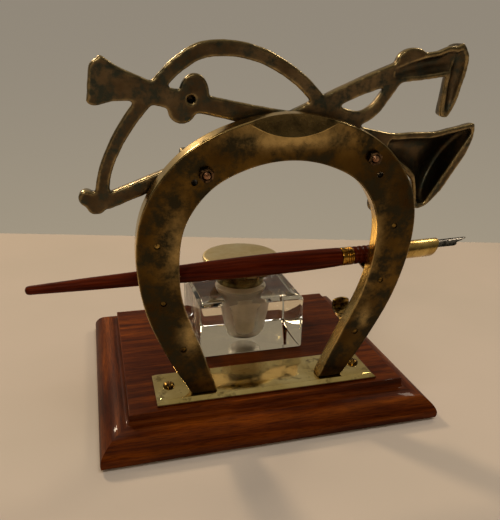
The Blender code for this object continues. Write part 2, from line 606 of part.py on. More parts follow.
# Studs screwed into the casting, and their nuts on the shoe's rear face
for side, place in stud_places.items():
    radius = STUD_DIAMETER / 2
    through_shoe("trophy_stud_" + side, place, radius, STUD_PROUD, hook_face - STUD_BURIED,
                 SMALL_SIDES, steel)
    blind = through_shoe("stud blind hole " + side, place, radius + SEAT_GAP, hook_face + CUT_OVERRUN,
                         hook_face - STUD_BURIED - SEAT_GAP)
    boolean(trophy, blind, "DIFFERENCE")
    through = through_shoe("stud hole " + side, place, radius + SEAT_GAP, CUT_OVERRUN,
                           hook_face - CUT_OVERRUN)
    boolean(horseshoe, through, "DIFFERENCE")
    nut = through_shoe("trophy_nut_" + side, place, NUT_ACROSS_FLATS / math.sqrt(3), SEAT_GAP,
                       SEAT_GAP + NUT_HEIGHT, 6, steel, NUT_TURN)
    bore = through_shoe("nut bore " + side, place, radius + SEAT_GAP, -SEAT_GAP, STUD_PROUD + CUT_OVERRUN)
    boolean(nut, bore, "DIFFERENCE")

# Ink bottle: a square block with cut edges, a round neck and a round well
bottle_low = plinth_top + SEAT_GAP
bottle_top = bottle_low + BOTTLE_HEIGHT
side_half = BOTTLE_WIDTH / 2
bottle = loft("ink_bottle", [
    rectangle(side_half - BOTTLE_CHAMFER / 2, side_half - BOTTLE_CHAMFER / 2, 0.0, BOTTLE_CHAMFER / 2),
    rectangle(side_half, side_half, BOTTLE_CHAMFER / 2, BOTTLE_CHAMFER),
    rectangle(side_half, side_half, BOTTLE_HEIGHT - BOTTLE_CHAMFER, BOTTLE_CHAMFER),
    rectangle(side_half - BOTTLE_CHAMFER, side_half - BOTTLE_CHAMFER, BOTTLE_HEIGHT, BOTTLE_CHAMFER / 2)],
    glass)
bottle.location = (BOTTLE_OFFSET, BOTTLE_CENTRE_Y, bottle_low)
neck = turned("neck", [(NECK_DIAMETER / 2, BOTTLE_HEIGHT - BOTTLE_CHAMFER),
                       (NECK_DIAMETER / 2, BOTTLE_HEIGHT + NECK_HEIGHT)], ROUND_SIDES, parent=bottle)
well_high = BOTTLE_HEIGHT - WELL_SHOULDER
well_outline = []
for degrees in (10, 35, 60, 90):
    turn = math.radians(degrees)
    well_outline.append((WELL_BASE_DIAMETER / 2 - WELL_CORNER * (1 - math.sin(turn)),
                         WELL_FLOOR + WELL_CORNER * (1 - math.cos(turn))))
well_outline += [(WELL_DIAMETER / 2, well_high - WELL_SHOULDER), (MOUTH_DIAMETER / 2, well_high),
                 (MOUTH_DIAMETER / 2, BOTTLE_HEIGHT + NECK_HEIGHT + CUT_OVERRUN)]
boolean(bottle, neck, "UNION")
boolean(bottle, turned("well", well_outline, ROUND_SIDES, parent=bottle), "DIFFERENCE")

# Collar: a brass ring round the neck that flares to the lid's seat, with two hinge knuckles
collar_in = NECK_DIAMETER / 2 + SEAT_GAP
collar_low = BOTTLE_HEIGHT + SEAT_GAP
collar_top = collar_low + COLLAR_HEIGHT
rim = COLLAR_RIM_DIAMETER / 2
collar_out = collar_in + COLLAR_WALL
flange = collar_out + COLLAR_WALL / 3
outline = [(collar_in, collar_low), (flange, collar_low), (flange, collar_low + COLLAR_FLANGE)]
for wide, high in COLLAR_FLARE_SHARES:
    outline.append((collar_out + (rim - collar_out) * wide, collar_low + (COLLAR_HEIGHT - COLLAR_RIM) * high))
outline += [(rim, collar_top - COLLAR_RIM), (rim, collar_top), (collar_in, collar_top)]
collar = turned("bottle_collar", outline, ROUND_SIDES, plate_brass, bottle, hollow=True)
hinge_y = LID_DIAMETER / 2 + KNUCKLE / 2
hinge_z = collar_top + HINGE_RISE
knuckle_start = KNUCKLE_LENGTH / 2 + SEAT_GAP
pin_end = knuckle_start + KNUCKLE_LENGTH + SEAT_GAP
for side, sign in (("left", 1), ("right", -1)):
    start = sign * knuckle_start
    end = sign * (knuckle_start + KNUCKLE_LENGTH)
    knuckle = bar("collar knuckle " + side, (start, hinge_y, hinge_z), (end, hinge_y, hinge_z), KNUCKLE / 2,
                  SMALL_SIDES, parent=bottle)
    web = block("collar web " + side, (min(start, end) + SEAT_GAP / 3, hinge_y - HINGE_WEB,
                                       collar_top - HINGE_WEB_THICKNESS * 0.8),
                (max(start, end) - SEAT_GAP / 3, hinge_y, collar_top + HINGE_WEB_THICKNESS / 8),
                parent=bottle)
    boolean(collar, web, "UNION")
    boolean(collar, knuckle, "UNION")
pin_room = HINGE_PIN / 2 + HINGE_CLEARANCE
pin_bore = bar("pin bore", (-pin_end - CUT_OVERRUN, hinge_y, hinge_z),
               (pin_end + CUT_OVERRUN, hinge_y, hinge_z), pin_room, SMALL_SIDES, parent=bottle)
boolean(collar, pin_bore, "DIFFERENCE")
bar("lid_hinge_pin", (-pin_end, hinge_y, hinge_z), (pin_end, hinge_y, hinge_z), HINGE_PIN / 2, SMALL_SIDES,
    plate_brass, bottle)

# Lid: a shallow brass cap with a rounded rim and a hollow underside, its origin on the hinge
lid_radius = LID_DIAMETER / 2
seat = LID_SEAT_DIAMETER / 2
lip = lid_radius - seat
hollow_radius = LID_HOLLOW_DIAMETER / 2
lid_low = SEAT_GAP - HINGE_RISE
lid_top = lid_low + LID_THICKNESS
lid = turned("lid", [
    (hollow_radius / 4, lid_low + LID_HOLLOW_DEPTH), (hollow_radius - SEAT_GAP, lid_low + LID_HOLLOW_DEPTH),
    (hollow_radius, lid_low), (seat, lid_low), (seat + lip * 0.75, lid_low + LID_THICKNESS * 0.28),
    (lid_radius, lid_low + LID_THICKNESS * 0.6), (lid_radius - LID_CROWN / 2, lid_top - LID_CROWN),
    (lid_radius - 3 * LID_CROWN, lid_top - LID_CROWN / 4), (lid_radius / 2, lid_top)],
    ROUND_SIDES, plate_brass, collar)
lid.data.transform(Matrix.Translation((0, -hinge_y, 0)))
lid.location = (0, hinge_y, hinge_z)
half_knuckle = KNUCKLE_LENGTH / 2
lid_web = block("lid web", (SEAT_GAP / 3 - half_knuckle, -HINGE_WEB, lid_low + LID_THICKNESS * 0.1),
                (half_knuckle - SEAT_GAP / 3, 0.0, lid_low + LID_THICKNESS * 0.1 + HINGE_WEB_THICKNESS),
                parent=lid)
lid_knuckle = bar("lid knuckle", (-half_knuckle, 0, 0), (half_knuckle, 0, 0), KNUCKLE / 2, SMALL_SIDES,
                  parent=lid)
lid_bore = bar("lid bore", (-KNUCKLE_LENGTH, 0, 0), (KNUCKLE_LENGTH, 0, 0), pin_room, SMALL_SIDES, parent=lid)
boolean(lid, lid_web, "UNION")
boolean(lid, lid_knuckle, "UNION")
boolean(lid, lid_bore, "DIFFERENCE")


def holder_radius(x):
    """The pen's radius where it crosses x, on the holder or the grip."""
    share = (PEN_TAIL_REACH - x) / HOLDER_LENGTH
    for (a, wide_a), (b, wide_b) in zip(HOLDER_SHARES, HOLDER_SHARES[1:]):
        if a <= share <= b:
            return HOLDER_WIDEST / 2 * (wide_a + (wide_b - wide_a) * (share - a) / (b - a))
    return SOCKET_DIAMETER / 2


# The pen lies in the middle pair of hooks, against their back plates
rests = []
for side in ("left", "right"):
    nail_x, nail_z = nail_places[side, 2]
    radius = holder_radius(nail_x)
    rests.append(shoe_place @ Vector((nail_x, back_face - SEAT_GAP - radius,
                                      nail_z + HOOK_RISE + SEAT_GAP + radius)))
rise = (rests[1].z - rests[0].z) / (rests[0].x - rests[1].x)
tail = Vector((PEN_TAIL_REACH, (rests[0].y + rests[1].y) / 2,
               rests[0].z - rise * (PEN_TAIL_REACH - rests[0].x)))
slope = math.atan(rise)

# Holder: a swelling wooden handle whose thin core carries the ferrule, grip and socket
outline = [(HOLDER_WIDEST / 2 * wide, HOLDER_LENGTH * far) for far, wide in HOLDER_SHARES]
outline = [(point[0], point[1]) for point in smooth_curve(outline, 2)]
core = CORE_DIAMETER / 2
grip_end = HOLDER_LENGTH + FERRULE_LENGTH + GRIP_LENGTH
outline += [(core, HOLDER_LENGTH), (core, grip_end + CORE_IN_SOCKET)]
holder = turned("pen_holder", outline, ROUND_SIDES // 2, holder_wood)
holder.location = tail
holder.rotation_euler = (0, slope - math.pi / 2, 0)

# Ferrule: smooth brass, then a run of small beads
ferrule = FERRULE_DIAMETER / 2
sleeve = core + SEAT_GAP
ferrule_start = HOLDER_LENGTH + SEAT_GAP / 2
ferrule_end = HOLDER_LENGTH + FERRULE_LENGTH - SEAT_GAP / 2
outline = [(sleeve, ferrule_start), (ferrule, ferrule_start),
           (ferrule, ferrule_start + FERRULE_LENGTH * 0.35)]
beads_start = outline[-1][1]
pitch = (ferrule_end - beads_start) / FERRULE_BEADS
for bead in range(FERRULE_BEADS):
    start = beads_start + bead * pitch
    outline += [(ferrule - FERRULE_BEAD, start + pitch * 0.1), (ferrule, start + pitch * 0.4),
                (ferrule, start + pitch * 0.8)]
outline += [(ferrule - FERRULE_BEAD, ferrule_end), (sleeve, ferrule_end)]
turned("pen_ferrule", outline, ROUND_SIDES // 2, plate_brass, holder, hollow=True)

# Grip: a dark ribbed sleeve
grip = GRIP_DIAMETER / 2
grip_start = HOLDER_LENGTH + FERRULE_LENGTH + SEAT_GAP / 2
outline = [(sleeve, grip_start), (grip - FERRULE_BEAD, grip_start)]
pitch = (grip_end - grip_start) / GRIP_RIBS
for rib in range(GRIP_RIBS):
    start = grip_start + rib * pitch
    outline += [(grip, start + pitch * 0.25), (grip, start + pitch * 0.7),
                (grip - FERRULE_BEAD, start + pitch * 0.95)]
outline.append((sleeve, outline[-1][1]))
turned("pen_grip", outline, ROUND_SIDES // 2, holder_wood, holder, hollow=True)

# Socket: a thin brass tube with a slanted mouth that grips the nib
socket = SOCKET_DIAMETER / 2
bore = socket - SOCKET_WALL
socket_start = grip_end + SEAT_GAP / 2
socket_end = grip_end + SOCKET_LENGTH
tube = turned("nib_socket", [
    (sleeve, socket_start), (socket - FERRULE_BEAD, socket_start),
    (socket, socket_start + CORE_IN_SOCKET / 2), (socket, socket_end), (bore, socket_end),
    (bore, socket_start + CORE_IN_SOCKET + SOCKET_WALL),
    (sleeve, socket_start + CORE_IN_SOCKET)], ROUND_SIDES // 2, plate_brass, holder, hollow=True)
wedge = add_mesh("slanted mouth", [
    (x, y, z) for y in (-SOCKET_DIAMETER, SOCKET_DIAMETER)
    for x, z in ((-2 * socket, socket_end - SOCKET_SLANT * 1.5), (2 * socket, socket_end + SOCKET_SLANT / 2),
                 (-2 * socket, socket_end + SOCKET_SLANT))],
    [(0, 1, 2), (3, 4, 5), (0, 1, 4, 3), (1, 2, 5, 4), (2, 0, 3, 5)], parent=holder)
boolean(tube, wedge, "DIFFERENCE")

# Nib: an arched steel blade held under the socket's upper wall, its origin on the pen's axis
arch = bore - SEAT_GAP
rings = []
for far, wide in NIB_SHARES:
    arc = NIB_ARC * wide
    outer_arc = [(arch * math.cos(arc * j / 3), arch * math.sin(arc * j / 3)) for j in range(-3, 4)]
    under = arch - NIB_THICKNESS
    inner_arc = [(under * math.cos(arc * j / 3), under * math.sin(arc * j / 3)) for j in range(3, -4, -1)]
    rings.append([(x, y, NIB_LENGTH * far) for x, y in outer_arc + inner_arc])
nib = loft("nib", rings, steel, holder)
nib.location.z = socket_end + NIB_SHOWING - NIB_LENGTH
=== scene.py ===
"""Looks of the desk inkstand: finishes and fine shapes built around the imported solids."""

import json
import math

import bmesh
import bpy
import numpy as np
from mathutils import Matrix, Vector

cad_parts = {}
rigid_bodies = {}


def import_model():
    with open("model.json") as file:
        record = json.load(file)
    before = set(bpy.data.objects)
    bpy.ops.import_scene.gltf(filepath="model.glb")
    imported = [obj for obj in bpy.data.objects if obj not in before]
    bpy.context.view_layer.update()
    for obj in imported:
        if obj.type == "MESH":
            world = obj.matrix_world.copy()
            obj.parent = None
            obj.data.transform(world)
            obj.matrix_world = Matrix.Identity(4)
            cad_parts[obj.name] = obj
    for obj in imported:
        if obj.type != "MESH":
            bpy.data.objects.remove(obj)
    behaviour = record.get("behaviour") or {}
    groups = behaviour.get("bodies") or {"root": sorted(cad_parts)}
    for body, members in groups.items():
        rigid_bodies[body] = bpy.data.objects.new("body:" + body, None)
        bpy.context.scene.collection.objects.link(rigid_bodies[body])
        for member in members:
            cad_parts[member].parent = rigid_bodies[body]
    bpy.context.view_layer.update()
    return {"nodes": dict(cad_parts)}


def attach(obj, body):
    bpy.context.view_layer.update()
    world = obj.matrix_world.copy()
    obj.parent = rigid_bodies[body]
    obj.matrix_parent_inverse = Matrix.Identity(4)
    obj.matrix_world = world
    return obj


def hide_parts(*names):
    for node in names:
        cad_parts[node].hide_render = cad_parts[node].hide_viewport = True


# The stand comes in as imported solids, in metres, resting on the desk at z = 0 with the writer
# on the -Y side. Lengths below are written in millimetres and turned to metres by MM.
MM = 0.001
for thing in list(bpy.data.objects):
    bpy.data.objects.remove(thing)
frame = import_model()
nodes = frame["nodes"]

# The camera stands behind the shoe, a little to its left, looking down on the stand.
# Its place, turn and lens come from fitting one view to the base, plate, bottle and shoe edges.
EYE = np.array([64.97, 242.41, 149.35]) * MM
HEADING, PITCH, ROLL = -0.270, 0.347, 0.019
LENS_SHARE = 567.1 / 520
ahead = np.array([math.sin(HEADING) * math.cos(PITCH), -math.cos(HEADING) * math.cos(PITCH),
                  -math.sin(PITCH)])
level_right = np.array([-math.cos(HEADING), -math.sin(HEADING), 0.0])
level_up = np.cross(level_right, ahead)
right = level_right * math.cos(ROLL) + level_up * math.sin(ROLL)
up = -level_right * math.sin(ROLL) + level_up * math.cos(ROLL)
camera = bpy.data.objects.new("camera", bpy.data.cameras.new("camera"))
bpy.context.scene.collection.objects.link(camera)
place = Matrix.Identity(4)
for row in range(3):
    place[row][0], place[row][1], place[row][2], place[row][3] = right[row], up[row], -ahead[row], EYE[row]
camera.matrix_world = place
camera.data.sensor_width = 36.0
camera.data.lens = 36.0 * LENS_SHARE
camera.data.clip_start = 0.005
camera.data.clip_end = 20.0
bpy.context.scene.camera = camera
bpy.context.scene.view_settings.view_transform = "Standard"


# The desk is a pale, matt slab whose far edge shows behind the bottle, as on a table near a wall.
# The wall itself is a plain warm grey, drawn by the world, so it hides the stand from no side.
EDGE_DISTANCE, DESK_HALF, DESK_NEAR, DESK_THICKNESS = 0.469, 3.0, 4.0, 0.025
flat_ahead = np.array([math.sin(HEADING), -math.cos(HEADING), 0.0])
foot = np.array([EYE[0], EYE[1], 0.0]) + flat_ahead * EDGE_DISTANCE


def linear(hex_colour):
    """sRGB hex to the linear RGBA that shaders take, by the sRGB curve."""
    channels = np.array([int(hex_colour[i:i + 2], 16) for i in (1, 3, 5)]) / 255
    curve = np.where(channels <= 0.04045, channels / 12.92, ((channels + 0.055) / 1.055) ** 2.4)
    return (*[float(c) for c in curve], 1.0)


def feed(tree, made, **inputs):
    """Gives a node's inputs, named in lower case with underscores, a value, a hex colour, or the output
    or node that they are linked from."""
    for name, value in inputs.items():
        socket = next(s for s in made.inputs if s.enabled and s.name.lower().replace(" ", "_") == name)
        if isinstance(value, bpy.types.Node):
            value = next(output for output in value.outputs if output.enabled)
        if isinstance(value, bpy.types.NodeSocket):
            tree.links.new(value, socket)
        else:
            socket.default_value = linear(value) if isinstance(value, str) else value


def add_node(tree, kind, settings=None, stops=(), **inputs):
    """Adds a node with its settings, its links and, for a colour ramp, its (place, hex or grey) stops."""
    made = tree.nodes.new("ShaderNode" + kind)
    for name, value in (settings or {}).items():
        setattr(made, name, value)
    while stops and len(made.color_ramp.elements) < len(stops):
        made.color_ramp.elements.new(0.5)
    for (where, colour), element in zip(stops, made.color_ramp.elements if stops else ()):
        element.position = where
        element.color = linear(colour) if isinstance(colour, str) else (colour, colour, colour, 1.0)
    feed(tree, made, **inputs)
    return made


def new_material(name):
    """An empty material, its node tree, its shader joined to the output, and its object coordinates."""
    material = bpy.data.materials.new(name)
    material.use_nodes = True
    tree = material.node_tree
    tree.nodes.clear()
    shader = add_node(tree, "BsdfPrincipled")
    add_node(tree, "OutputMaterial", surface=shader)
    return material, tree, shader, add_node(tree, "TexCoord").outputs["Object"]


desk_mesh = bpy.data.meshes.new("desk")
corners = []
for level in (-DESK_THICKNESS, 0.0):
    for side, run in ((-1, -DESK_NEAR), (1, -DESK_NEAR), (1, 0.0), (-1, 0.0)):
        corner = foot + level_right * side * DESK_HALF + flat_ahead * run + np.array([0, 0, level])
        corners.append(tuple(corner))
around = [(k, (k + 1) % 4, (k + 1) % 4 + 4, k + 4) for k in range(4)]
desk_mesh.from_pydata(corners, [], [(3, 2, 1, 0), (4, 5, 6, 7), *around])
desk = bpy.data.objects.new("desk", desk_mesh)
bpy.context.scene.collection.objects.link(desk)
desk_paint, tree, shader, spots = new_material("matt desk")
mottle = add_node(tree, "TexNoise", vector=spots, scale=9.0, detail=3.0)
feed(tree, shader, roughness=0.8, specular_ior_level=0.2,
     base_color=add_node(tree, "ValToRGB", stops=[(0.3, "#aa9b88"), (0.7, "#b09f8c")], fac=mottle))
desk.data.materials.append(desk_paint)

# Soft studio light: a dim room that grows brighter overhead and behind the stand, two broad
# window lamps behind and above, a white ceiling, and a weak lamp from the camera's side.
world = bpy.data.worlds.new("room")
bpy.context.scene.world = world
world.use_nodes = True
tree = world.node_tree
direction = add_node(tree, "TexCoord").outputs["Generated"]


def facing(way, low, high, least, most):
    """A number for each direction of the room: least to most, smoothly, as its cosine to a way goes from
    low to high."""
    cosine = add_node(tree, "VectorMath", {"operation": "DOT_PRODUCT"})
    tree.links.new(direction, cosine.inputs[0])
    cosine.inputs[1].default_value = way
    return add_node(tree, "MapRange", {"interpolation_type": "SMOOTHSTEP"}, value=cosine.outputs["Value"],
                    from_min=low, from_max=high, to_min=least, to_max=most)


def joined(operation, first, second):
    """Two numbers put together by a maths operation."""
    made = add_node(tree, "Math", {"operation": operation})
    tree.links.new(first, made.inputs[0])
    tree.links.new(second, made.inputs[1])
    return made.outputs[0]


ray = add_node(tree, "LightPath").outputs
wallward = facing(tuple(flat_ahead), 0.0, 0.6, 0.0, 1.0).outputs[0]
mirrored_wall = joined("MULTIPLY", ray["Is Glossy Ray"], wallward)
indirect_wall = joined("MAXIMUM", ray["Is Transmission Ray"], mirrored_wall)
sees_wall = joined("MAXIMUM", ray["Is Camera Ray"], indirect_wall)
wall_tone = add_node(tree, "Mix", {"data_type": "RGBA"}, factor=facing((0.0, 0.0, 1.0), -0.5, 0.1, 0.0, 1.0),
                     a="#a69a85", b="#91887a")
strength = facing((-0.15, -0.5, 0.85), -0.35, 0.95, 0.05, 0.42)
feed(tree, tree.nodes["Background"],
     color=add_node(tree, "Mix", {"data_type": "RGBA"}, factor=sees_wall, a="#ecdfc8", b=wall_tone),
     strength=add_node(tree, "Mix", factor=sees_wall, a=strength, b=1.0))


def lamp(name, spot, aim, size, watts, hex_colour, mirrored=True):
    """A square area lamp at a spot, turned to face aim, all in millimetres. One that isn't mirrored lights
    surfaces without showing in their gloss, as a large white ceiling would."""
    data = bpy.data.lights.new(name, "AREA")
    data.size = size * MM
    data.energy = watts
    data.color = linear(hex_colour)[:3]
    made = bpy.data.objects.new(name, data)
    bpy.context.scene.collection.objects.link(made)
    made.location = Vector(spot) * MM
    made.rotation_euler = (Vector(aim) - Vector(spot)).to_track_quat("-Z", "Y").to_euler()
    made.visible_glossy = mirrored
    made.visible_camera = False


lamp("window lamp", (560, -1000, 1000), (0, 0, 40), 170, 11.0, "#ffe9cb")
lamp("far lamp", (-1050, -560, 1150), (0, 0, 40), 300, 5.5, "#ffefd8")
lamp("ceiling", (-80, 420, 1100), (0, 110, 30), 600, 7.5, "#eef2fb", mirrored=False)
lamp("front lamp", (330, 700, 520), (0, -60, 60), 110, 1.5, "#fff1dc")

# A pad of green baize under the base keeps it from marking the desk. It is a woven wool cloth
# with a raised nap, so it is quite matt with a faint fuzz.


def dress(material, *names):
    """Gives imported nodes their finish."""
    for name in names:
        piece = nodes[name]
        piece.data.materials.clear()
        piece.data.materials.append(material)


baize, tree, shader, spots = new_material("green baize")
nap = add_node(tree, "TexNoise", vector=spots, scale=2500.0, detail=2.0)
cloth_tone = add_node(tree, "ValToRGB", stops=[(0.3, "#20372a"), (0.7, "#35553c")], fac=nap)
feed(tree, shader, base_color=cloth_tone, roughness=0.95, sheen_weight=0.4,
     normal=add_node(tree, "Bump", strength=0.4, distance=0.0003, height=nap))
dress(baize, "baize_pad")

# The base is a block of mahogany with a small step and cove over a thumb-shaped edge, mitred at
# the corners, stained and French polished, so it is near black between warm red streaks of grain.


def through(points, steps):
    """A Catmull-Rom curve through the points, its ends repeated, with the given steps to each stretch."""
    p = np.asarray(points, float)
    if p.ndim == 1:
        p = p[:, None]
    p = np.concatenate([p[:1], p, p[-1:]])
    t = (np.arange(steps) / steps)[None, :, None]
    a, b, c, d = (p[k:len(p) - 3 + k, None, :] for k in range(4))
    curve = 0.5 * (2 * b + (c - a) * t + (2 * a - 5 * b + 4 * c - d) * t ** 2
                   + (3 * b - a - 3 * c + d) * t ** 3)
    curve = np.concatenate([curve.reshape(-1, p.shape[1]), p[-1:]])
    return curve if curve.shape[1] > 1 else curve[:, 0]


def capped(rings):
    """Closes a stack of rings by a ring drawn in to a point before its first and after its last."""
    first = np.repeat(rings[:1].mean(axis=1, keepdims=True), rings.shape[1], axis=1)
    last = np.repeat(rings[-1:].mean(axis=1, keepdims=True), rings.shape[1], axis=1)
    return np.concatenate([first, rings, last])


def build_mesh(name, skins, marks=None, grain=None):
    """One object from grids of points in millimetres, each a stack of closed rings. A point is joined to
    the next in its ring and to its like on the next ring. A skin in a pair with True also joins its last
    ring to its first. Marks are numbers kept for each point, and grain is a place on a map for each."""
    points, quads, start = [], [], 0
    for skin in skins:
        grid, looped = skin if isinstance(skin, tuple) else (skin, False)
        rows, columns = grid.shape[:2]
        i = np.arange(rows if looped else rows - 1)[:, None]
        j = np.arange(columns)[None, :]
        after, below = (j + 1) % columns, (i + 1) % rows
        corners = [i * columns + j, i * columns + after, below * columns + after, below * columns + j]
        quads.append(start + np.stack(corners, axis=-1).reshape(-1, 4))
        points.append(grid.reshape(-1, 3))
        start += rows * columns
    quads = np.concatenate(quads)
    mesh = bpy.data.meshes.new(name)
    mesh.from_pydata((np.concatenate(points) * MM).tolist(), [], quads.tolist())
    for key, values in (marks or {}).items():
        layer = mesh.attributes.new(key, "FLOAT", "POINT")
        layer.data.foreach_set("value", np.ravel(values).astype(np.float32))
    if grain is not None:
        layer = mesh.uv_layers.new(name="grain")
        layer.data.foreach_set("uv", grain.reshape(-1, 2)[quads.ravel()].ravel().astype(np.float32))
    shape = bmesh.new()
    shape.from_mesh(mesh)
    bmesh.ops.remove_doubles(shape, verts=shape.verts, dist=1e-7)
    bmesh.ops.recalc_face_normals(shape, faces=shape.faces)
    shape.to_mesh(mesh)
    shape.free()
    piece = bpy.data.objects.new(name, mesh)
    bpy.context.scene.collection.objects.link(piece)
    return piece


def settle(piece, finish, slot, body, *stands_for, crease=32.0):
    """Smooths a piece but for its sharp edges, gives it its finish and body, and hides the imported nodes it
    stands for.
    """
    piece.data.shade_smooth()
    piece.data.set_sharp_from_angle(angle=math.radians(crease))
    for material in finish if isinstance(finish, list) else [finish]:
        piece.data.materials.append(material)
    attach(piece, body)
    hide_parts(*stands_for)


def framed(half_x, half_y, profile, per_side=12):
    """Rings round a rectangle: each (out, height) pair moves its four sides out. Also gives, for each
    point, the run along its side and the length down the profile, with the sides set apart on the map."""
    profile = np.asarray(profile, float)
    run = np.linspace(-1, 1, per_side)
    x = np.concatenate([run, np.ones(per_side), -run, -np.ones(per_side)])
    y = np.concatenate([-np.ones(per_side), run, np.ones(per_side), -run])
    out, height = profile[:, :1], profile[:, 1:]
    rings = np.stack([x * (half_x + out), y * (half_y + out), height + 0 * x], axis=-1)
    side = np.repeat(np.arange(4), per_side)
    along = np.where(side % 2 == 0, rings[..., 0], rings[..., 1])
    down = np.concatenate([[0.0], np.cumsum(np.hypot(*np.diff(profile, axis=0).T))])[:, None]
    return rings, np.stack([along * MM, (down + 70 * (side + 1)) * MM + 0 * along], axis=-1)


STEP = 0.5
turns = np.linspace(0, math.pi / 2, 7)
step_edge = np.stack([STEP * np.sin(turns), STEP * (1 - np.cos(turns))], axis=-1)
cove = np.stack([STEP + 1.6 * (1 - np.cos(turns)), 2.6 + 1.6 * np.sin(turns)], axis=-1)
thumb_share = np.sin(np.linspace(0, math.pi / 2, 26))[1:]
thumb_drop = 1 - (1 - thumb_share ** 2).clip(0) ** (1 / 1.6)
thumb = np.stack([2.1 + 10.4 * thumb_share, 4.2 + 7.8 * thumb_drop], axis=-1)
profile = np.concatenate([step_edge, cove, thumb, [(12.45, 13.2), (12.2, 14.25), (12.0, 14.4)]])
profile[:, 1] = 15.5 - profile[:, 1]
sides, side_grain = framed(59.0, 48.5, profile)
top = sides[:1] * np.array([[[0.0, 0.0, 1.0]]])
top = np.concatenate([top, sides[:1] * np.array([[[0.5, 0.5, 1.0]]]), sides[:1]])
bottom = sides[-1:] * np.array([[[0.0, 0.0, 1.0]]])
grid = np.concatenate([top, sides, bottom])
grain = np.concatenate([top[..., :2] * MM, side_grain, bottom[..., :2] * MM])
plinth = build_mesh("polished_base", [grid], grain=grain)
wood, tree, shader, spots = new_material("french polished mahogany")
flat_place = add_node(tree, "TexCoord").outputs["UV"]
streak_place = add_node(tree, "Mapping", vector=flat_place, scale=(14.0, 210.0, 1.0))
streaks = add_node(tree, "TexNoise", vector=streak_place, scale=1.0, detail=6.0, roughness=0.62,
                   distortion=0.5)
pore_place = add_node(tree, "Mapping", vector=flat_place, scale=(170.0, 2400.0, 1.0))
pores = add_node(tree, "TexNoise", vector=pore_place, scale=1.0, detail=2.0)
cloud = add_node(tree, "TexNoise", vector=spots, scale=26.0, detail=2.0)
figure = add_node(tree, "ValToRGB", fac=streaks,
                  stops=[(0.28, "#240a01"), (0.46, "#471a02"), (0.60, "#602a04"), (0.78, "#87420c")])
shade = add_node(tree, "ValToRGB", stops=[(0.32, 0.45), (0.68, 1.0)], fac=cloud)
MULTIPLIED = {"data_type": "RGBA", "blend_type": "MULTIPLY"}
figure = add_node(tree, "Mix", MULTIPLIED, factor=0.8, a=figure, b=shade)
dots = add_node(tree, "ValToRGB", stops=[(0.36, 0.35), (0.52, 1.0)], fac=pores)
figure = add_node(tree, "Mix", MULTIPLIED, factor=0.65, a=figure, b=dots)
feed(tree, shader, base_color=figure, roughness=0.42, specular_ior_level=0.03, coat_weight=0.10,
     coat_roughness=0.03, normal=add_node(tree, "Bump", strength=0.08, distance=0.0002, height=pores))
settle(plinth, wood, "mahogany", "base", "plinth", crease=38.0)

# The foot plate is rolled brass with a filed bevel, polished bright long ago and now a little
# toned, so its bevels catch near-white lines and its top mirrors the bottle.


def metal(name, tones, roughness, dirt, dirt_from, scale, wear_and_sheen_tone, speck=0.0002):
    """A metal finish made from its parts: slow drift between tones, dirt in patches, a mark on each point of
    rubbed wear and painted highlight that turns to a brighter tone, roughness that follows the drift, and a
    fine uneven skin."""
    material, tree, shader, spots = new_material(name)
    drift = add_node(tree, "TexNoise", vector=spots, scale=scale, detail=4.0, roughness=0.55)
    tone = add_node(tree, "ValToRGB", stops=[(0.36, tones[0]), (0.5, tones[1]), (0.66, tones[2])], fac=drift)
    stain = add_node(tree, "TexNoise", vector=spots, scale=scale * 3.6, detail=6.0, roughness=0.7)
    cover = add_node(tree, "ValToRGB", stops=[(dirt_from, 1.0), (dirt_from + 0.16, 0.0)], fac=stain)
    tone = add_node(tree, "Mix", {"data_type": "RGBA"}, factor=cover, a=tone, b=dirt)
    # The point mark carries rubbed wear and, on the horseshoe and the casting, painted highlights as well.
    wear_and_sheen = add_node(tree, "Attribute", {"attribute_name": "wear_and_sheen"}).outputs["Fac"]
    ragged = add_node(tree, "Math", {"operation": "MULTIPLY_ADD"})
    tree.links.new(stain.outputs[0], ragged.inputs[0])
    ragged.inputs[1].default_value = 3.0
    ragged.inputs[2].default_value = -1.45
    amount = add_node(tree, "Math", {"operation": "ADD", "use_clamp": True})
    tree.links.new(wear_and_sheen, amount.inputs[0])
    tree.links.new(ragged.outputs[0], amount.inputs[1])
    wear_and_sheen_amount = add_node(tree, "Math", {"operation": "MULTIPLY", "use_clamp": True})
    tree.links.new(wear_and_sheen, wear_and_sheen_amount.inputs[0])
    tree.links.new(amount.outputs[0], wear_and_sheen_amount.inputs[1])
    tone = add_node(tree, "Mix", {"data_type": "RGBA"}, factor=wear_and_sheen_amount, a=tone, b=wear_and_sheen_tone)
    rough = add_node(tree, "MapRange", value=drift, from_min=0.3, from_max=0.7, to_min=roughness * 0.85,
                     to_max=roughness * 1.25)
    rough = add_node(tree, "Mix", factor=wear_and_sheen_amount, a=rough, b=0.2)
    skin = add_node(tree, "TexNoise", vector=spots, scale=700.0, detail=3.0)
    feed(tree, shader, base_color=tone, metallic=1.0, roughness=rough,
         normal=add_node(tree, "Bump", strength=0.15, distance=speck, height=skin))
    return material


PLATE_CENTRE = (0.0, 35.05)
profile = [(-0.15, 15.8), (0.0, 15.95), (0.0, 16.45), (-0.08, 16.62), (-0.22, 16.75), (-1.62, 17.86),
           (-1.76, 17.96), (-1.95, 18.0)]
sides, side_grain = framed(48.0, 11.65, profile)
ends = np.array([[[0.0, 0.0, 1.0]]])
grid = np.concatenate([sides[:1] * ends, sides, sides[-1:] * ends]) + np.array([*PLATE_CENTRE, 0.0])
plate = build_mesh("bevelled_foot_plate", [grid])
plate_brass = metal("polished brass", ("#bda562", "#d2bc7c", "#e2d196"), roughness=0.09,
                    dirt="#6d5a2c", dirt_from=0.30, scale=45.0, wear_and_sheen_tone="#ece0b4")
settle(plate, plate_brass, "plate_brass", "base", "foot_plate", crease=24.0)

# A round-head slotted brass screw holds the plate at each end. The head is turned and its slot
# sawn; dirt has gathered in the slot.


